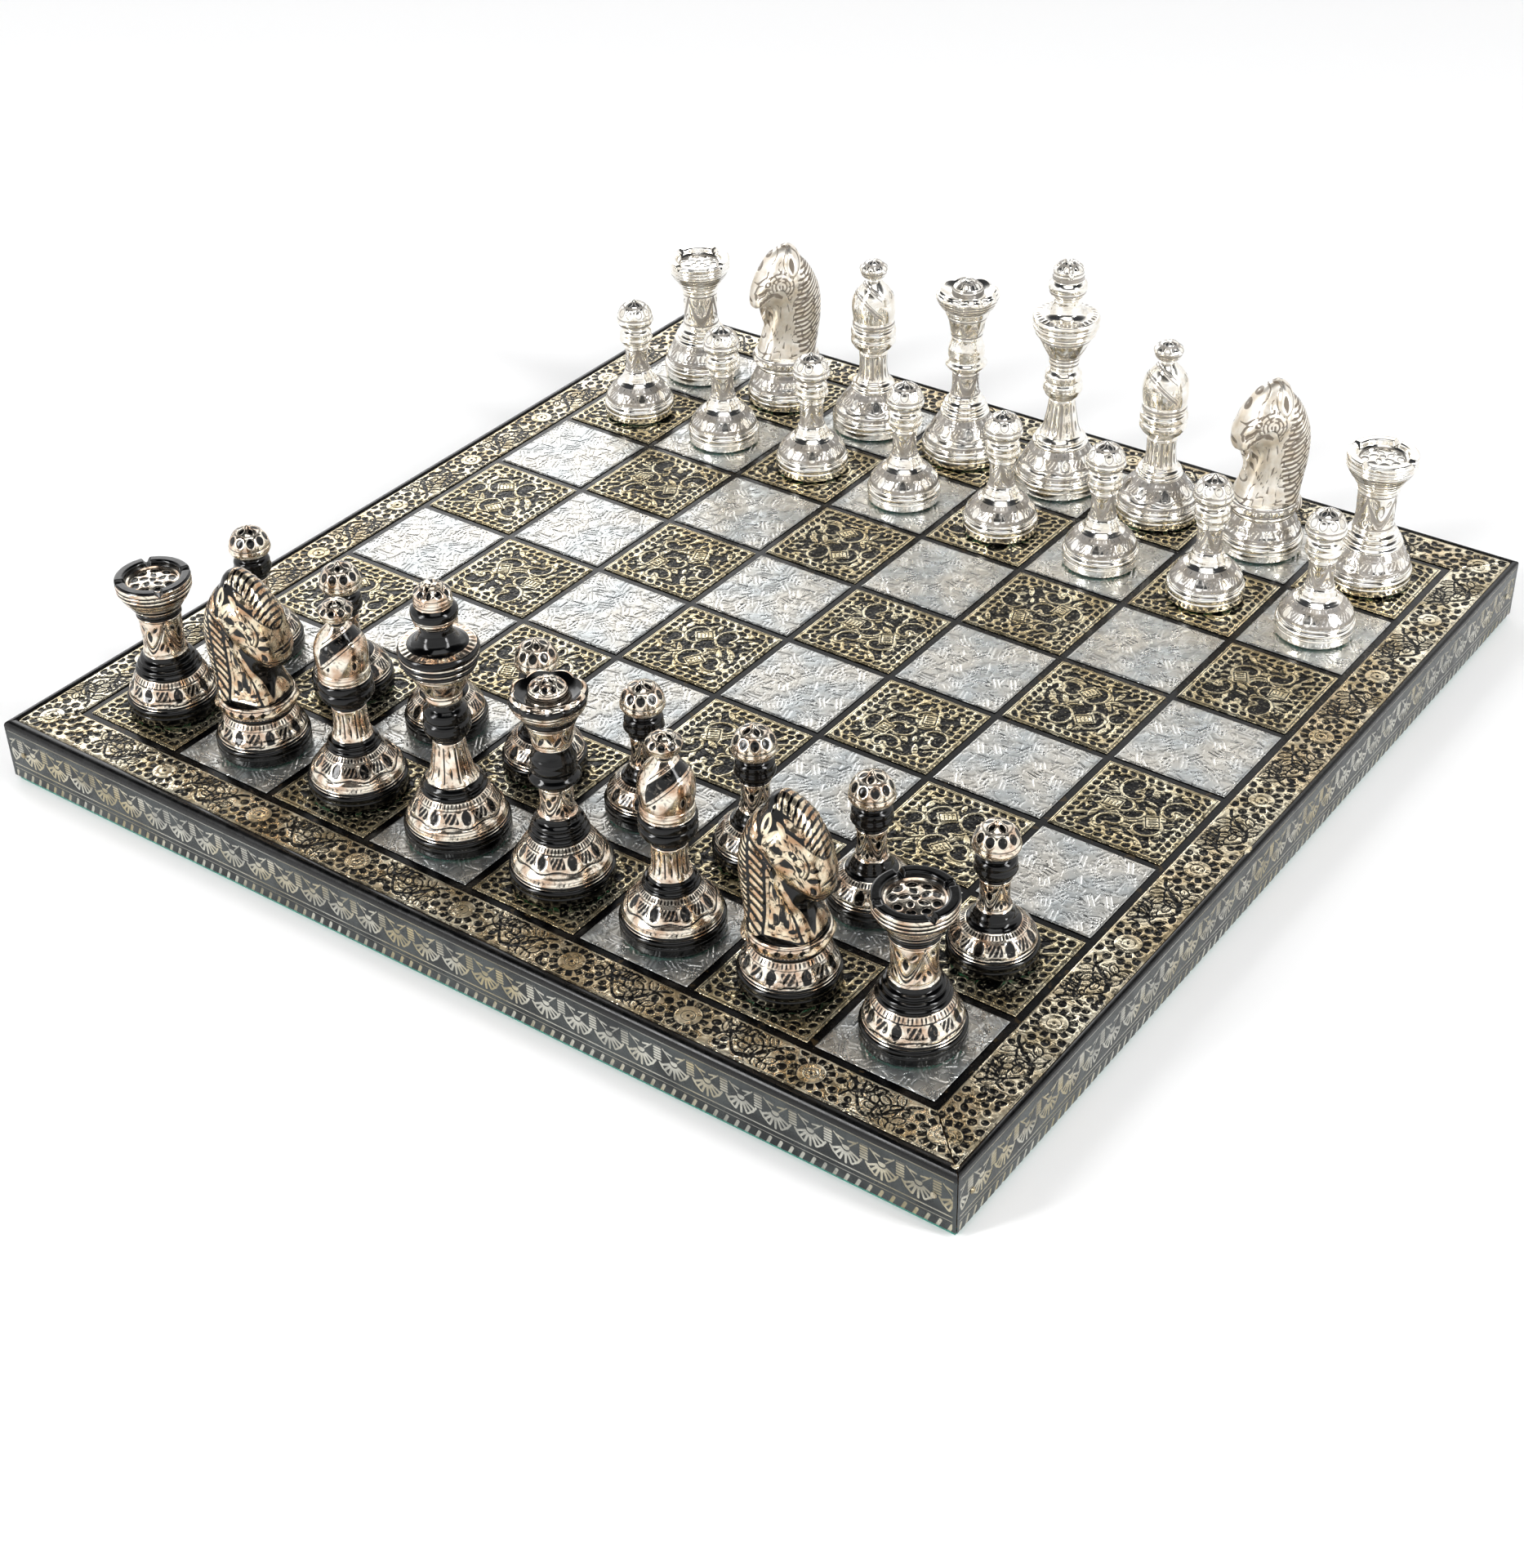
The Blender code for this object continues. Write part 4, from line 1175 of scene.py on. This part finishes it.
def scratched_nickel(name):
    """The pale squares: nickel covered with short wandering graver strokes."""
    n = Nodes(name)
    spot = n.new("ShaderNodeObjectInfo", {}, output="Random")
    where = n.place()
    drift = n.new("ShaderNodeTexNoise", {"Vector": where, "Scale": 180.0, "Detail": 2.0}, output="Color")
    shift = n.new("ShaderNodeVectorMath", {0: drift, 1: (0.006, 0.006, 0.0)}, operation="MULTIPLY")
    moved = n.new("ShaderNodeVectorMath", {0: where, 1: shift}, operation="ADD")
    offset = n.new("ShaderNodeCombineXYZ", {"X": spot, "Y": n.math("MULTIPLY", spot, 3.7)})
    moved = n.new("ShaderNodeVectorMath", {0: moved, 1: offset}, operation="ADD")
    lines = n.cells(420, "DISTANCE_TO_EDGE", vector=moved)
    lines = n.ramp(lines, 0.02, 0.09, 1.0, 0.0)
    gaps = n.patches(520, 2, 0.44, 0.57)
    hair = n.math("MULTIPLY", n.math("MULTIPLY", lines, gaps), 0.45)
    cuts = n.math("MAXIMUM", n.ramp(n.attribute("ink"), -0.2, 0.2), hair)
    tone = n.mix(n.patches(60, 2, 0.35, 0.65), rgb(186, 191, 192), rgb(210, 206, 197))
    # Painted highlight: the graver strokes (ink) are painted up to 35% towards near-white, standing in
    # for the glint off their cut walls.
    tone = n.mix(n.ramp(n.attribute("ink"), -0.1, 0.16, 0.0, 0.35), tone, rgb(240, 240, 238))
    tone = n.mix(n.math("MULTIPLY", hair, 0.5), tone, rgb(110, 106, 102))
    n.set(Base_Color=tone, Metallic=0.9, Roughness=n.patches(240, 2, 0.3, 0.7, 0.2, 0.36),
          Coat_Weight=0.2, Coat_Roughness=0.15,
          Normal=n.bump(cuts, -0.00015, 1.0))
    return n.material


def lacquer(name, colour, gloss, wear, wear_amount):
    """Black enamel, thin and glossy, with metal showing through where it is rubbed."""
    n = Nodes(name)
    rubbed = n.patches(340, 5, 0.62, 0.7, 0.0, wear_amount, warp=0.4)
    n.set(Base_Color=n.mix(rubbed, colour, wear), Metallic=n.math("MULTIPLY", rubbed, 0.9),
          Roughness=n.patches(500, 3, 0.3, 0.7, gloss, gloss + 0.12),
          Specular_IOR_Level=0.2, Coat_Weight=0.1, Coat_Roughness=0.05,
          Normal=n.bump(n.noise(1200, 2), 0.00002, 0.5))
    return n.material


def cut_band(name):
    """The edge band: dark enamel with bright cuts."""
    n = Nodes(name)
    ink = n.ramp(n.attribute("ink"), -0.07, 0.07)
    fade = n.patches(160, 3, 0.3, 0.7, 0.35, 0.8)
    covered = n.math("MULTIPLY", ink, fade)
    gold = n.mix(n.patches(45, 2, 0.4, 0.65), rgb(212, 210, 198), rgb(190, 176, 138))
    ground = n.mix(n.patches(90, 3, 0.3, 0.7), rgb(28, 31, 32), rgb(60, 64, 64))
    ground = n.mix(n.attribute("lacquer"), ground, rgb(5, 6, 8))
    n.set(Base_Color=n.mix(covered, ground, gold), Metallic=n.math("MULTIPLY", covered, 0.8),
          Roughness=n.patches(350, 3, 0.3, 0.7, 0.2, 0.34),
          Specular_IOR_Level=0.25, Coat_Weight=0.1, Coat_Roughness=0.08,
          Normal=n.bump(n.noise(900, 3), 0.00003, 0.5))
    return n.material


def felt(name):
    n = Nodes(name)
    fibre = n.noise(2400, 4, warp=1.5)
    tone = n.mix(n.ramp(fibre, 0.3, 0.7), rgb(14, 96, 84), rgb(40, 150, 130))
    n.set(Base_Color=tone, Roughness=n.ramp(fibre, 0.2, 0.8, 0.85, 1.0), Sheen_Weight=0.4,
          Sheen_Roughness=0.5, Normal=n.bump(fibre, 0.0002, 0.8))
    return n.material


def wood(name):
    n = Nodes(name)
    grain = n.noise(120, 4, stretch=(1, 12, 12), warp=0.5)
    n.set(Base_Color=n.mix(n.ramp(grain, 0.3, 0.7), rgb(150, 110, 72), rgb(110, 76, 46)),
          Roughness=n.ramp(grain, 0.2, 0.8, 0.6, 0.8), Normal=n.bump(grain, 0.0001, 0.6))
    return n.material


def make_looks():
    return {
        "brass": chased("chased_brass", rgb(204, 188, 150), rgb(255, 246, 216), rgb(220, 198, 150)),
        "border": chased("border_brass", rgb(196, 180, 146), rgb(255, 245, 218), rgb(208, 184, 144)),
        "nickel": scratched_nickel("scratched_nickel"),
        "groove": lacquer("groove_lacquer", rgb(5, 5, 7), 0.18, rgb(120, 100, 70), 0.2),
        "band": cut_band("edge_enamel"),
        "black": enamelled("enamelled_copper", rgb(246, 238, 222), rgb(200, 168, 142), rgb(4, 4, 6),
                           0.11, mottling=0.5),
        "silver": enamelled("nickel_plate", rgb(253, 251, 246), rgb(236, 229, 216), rgb(84, 74, 64),
                            0.10, fill_strength=0.75, lacquer_strength=0.0, mottling=0.1,
                            outlined=True),
        # Painted shade: the black knights' heads get a darker copy of the chessmen's copper (metal and
        # tarnish tones turned down, more dark mottling) so the lamp-lit head reads dimmer; the rougher
        # shine is a real satin finish.
        "black_head": enamelled("knight_copper_painted_shade", rgb(236, 222, 194), rgb(184, 148, 116), rgb(4, 4, 6),
                                0.18, mottling=0.9),
        "silver_head": enamelled("satin_nickel", rgb(248, 243, 234), rgb(228, 217, 200),
                                 rgb(92, 80, 66), 0.34, fill_strength=0.9, lacquer_strength=0.0,
                                 mottling=0.1),
        "felt": felt("green_felt"),
        "wood": wood("core_wood"),
    }


def dress_cad_nodes(looks):
    """Materials for the CAD nodes that stay in view."""
    chosen = {"board_core": looks["wood"], "felt_base": looks["felt"]}
    for name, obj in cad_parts.items():
        look = looks["border"] if name.startswith("edge_nail") else chosen.get(name)
        if look is not None:
            obj.data.materials.clear()
            obj.data.materials.append(look)


# ---------------------------------------------------------------- stage, camera and light

def add_floor():
    bpy.ops.mesh.primitive_plane_add(size=6)
    floor = bpy.context.object
    floor.name = "studio_floor"
    n = Nodes("floor_paper")
    n.set(Base_Color=(0.93, 0.93, 0.93, 1), Roughness=0.9)
    floor.data.materials.append(n.material)


def add_camera():
    az, el, roll = VIEW_AZIMUTH, VIEW_ELEVATION, VIEW_ROLL
    back = Vector((math.sin(az) * math.cos(el), -math.cos(az) * math.cos(el), math.sin(el)))
    right = Vector((math.cos(az), math.sin(az), 0))
    up = back.cross(right)
    c, s = math.cos(roll), math.sin(roll)
    right, up = right * c + up * s, up * c - right * s
    data = bpy.data.cameras.new("camera")
    data.sensor_fit = "HORIZONTAL"
    data.sensor_width = 36
    data.lens = VIEW_LENS
    data.clip_start = 0.01
    camera = bpy.data.objects.new("camera", data)
    bpy.context.scene.collection.objects.link(camera)
    turn = Matrix((right, up, back)).transposed().to_4x4()
    camera.matrix_world = Matrix.Translation(VIEW_TARGET + back * VIEW_DISTANCE) @ turn
    bpy.context.scene.camera = camera


def add_softbox(name, place, size, power):
    data = bpy.data.lights.new(name, "AREA")
    data.shape = "RECTANGLE"
    data.size, data.size_y = size
    data.energy = power
    light = bpy.data.objects.new(name, data)
    bpy.context.scene.collection.objects.link(light)
    light.location = place
    light.rotation_euler = (Vector((0, 0, 0.02)) - Vector(place)).to_track_quat("-Z", "Y").to_euler()


def add_light():
    world = bpy.data.worlds.new("studio")
    bpy.context.scene.world = world
    world.use_nodes = True
    tree = world.node_tree
    where = tree.nodes.new("ShaderNodeTexCoord")
    split = tree.nodes.new("ShaderNodeSeparateXYZ")
    ramp = tree.nodes.new("ShaderNodeValToRGB")
    tree.links.new(where.outputs["Generated"], split.inputs[0])
    tree.links.new(split.outputs["Z"], ramp.inputs[0])
    for position, level in ((0.44, 0.74), (0.54, 1.0), (0.59, 0.42), (0.66, 0.08), (0.7, 0.04)):
        stop = ramp.color_ramp.elements.new(position)
        stop.color = (level, level, level, 1)
    ramp.color_ramp.elements[0].color = (0.72, 0.72, 0.72, 1)
    ramp.color_ramp.elements[-1].position = 0.8
    ramp.color_ramp.elements[-1].color = (0.025, 0.027, 0.031, 1)
    background = tree.nodes["Background"]
    tree.links.new(ramp.outputs[0], background.inputs["Color"])
    background.inputs["Strength"].default_value = 1.45
    add_softbox("key_left", (-0.55, -1.2, 0.75), (0.28, 1.0), 15)
    add_softbox("key_right", (1.25, 0.1, 0.8), (0.26, 1.0), 13)
    add_softbox("back_glare", (-1.9, 1.3, 0.95), (1.6, 0.9), 10)
    add_softbox("overhead", (0.3, -0.3, 2.0), (1.2, 1.2), 9)
    add_softbox("far_glare", (-0.35, 1.7, 1.1), (0.9, 0.6), 0.9)


def main():
    looks = make_looks()
    add_grooves(looks)
    add_field(looks)
    add_frame(looks)
    add_flaws(looks)
    add_chessmen(looks)
    dress_cad_nodes(looks)
    add_floor()
    add_camera()
    add_light()
    bpy.context.scene.view_settings.view_transform = "Standard"


main()
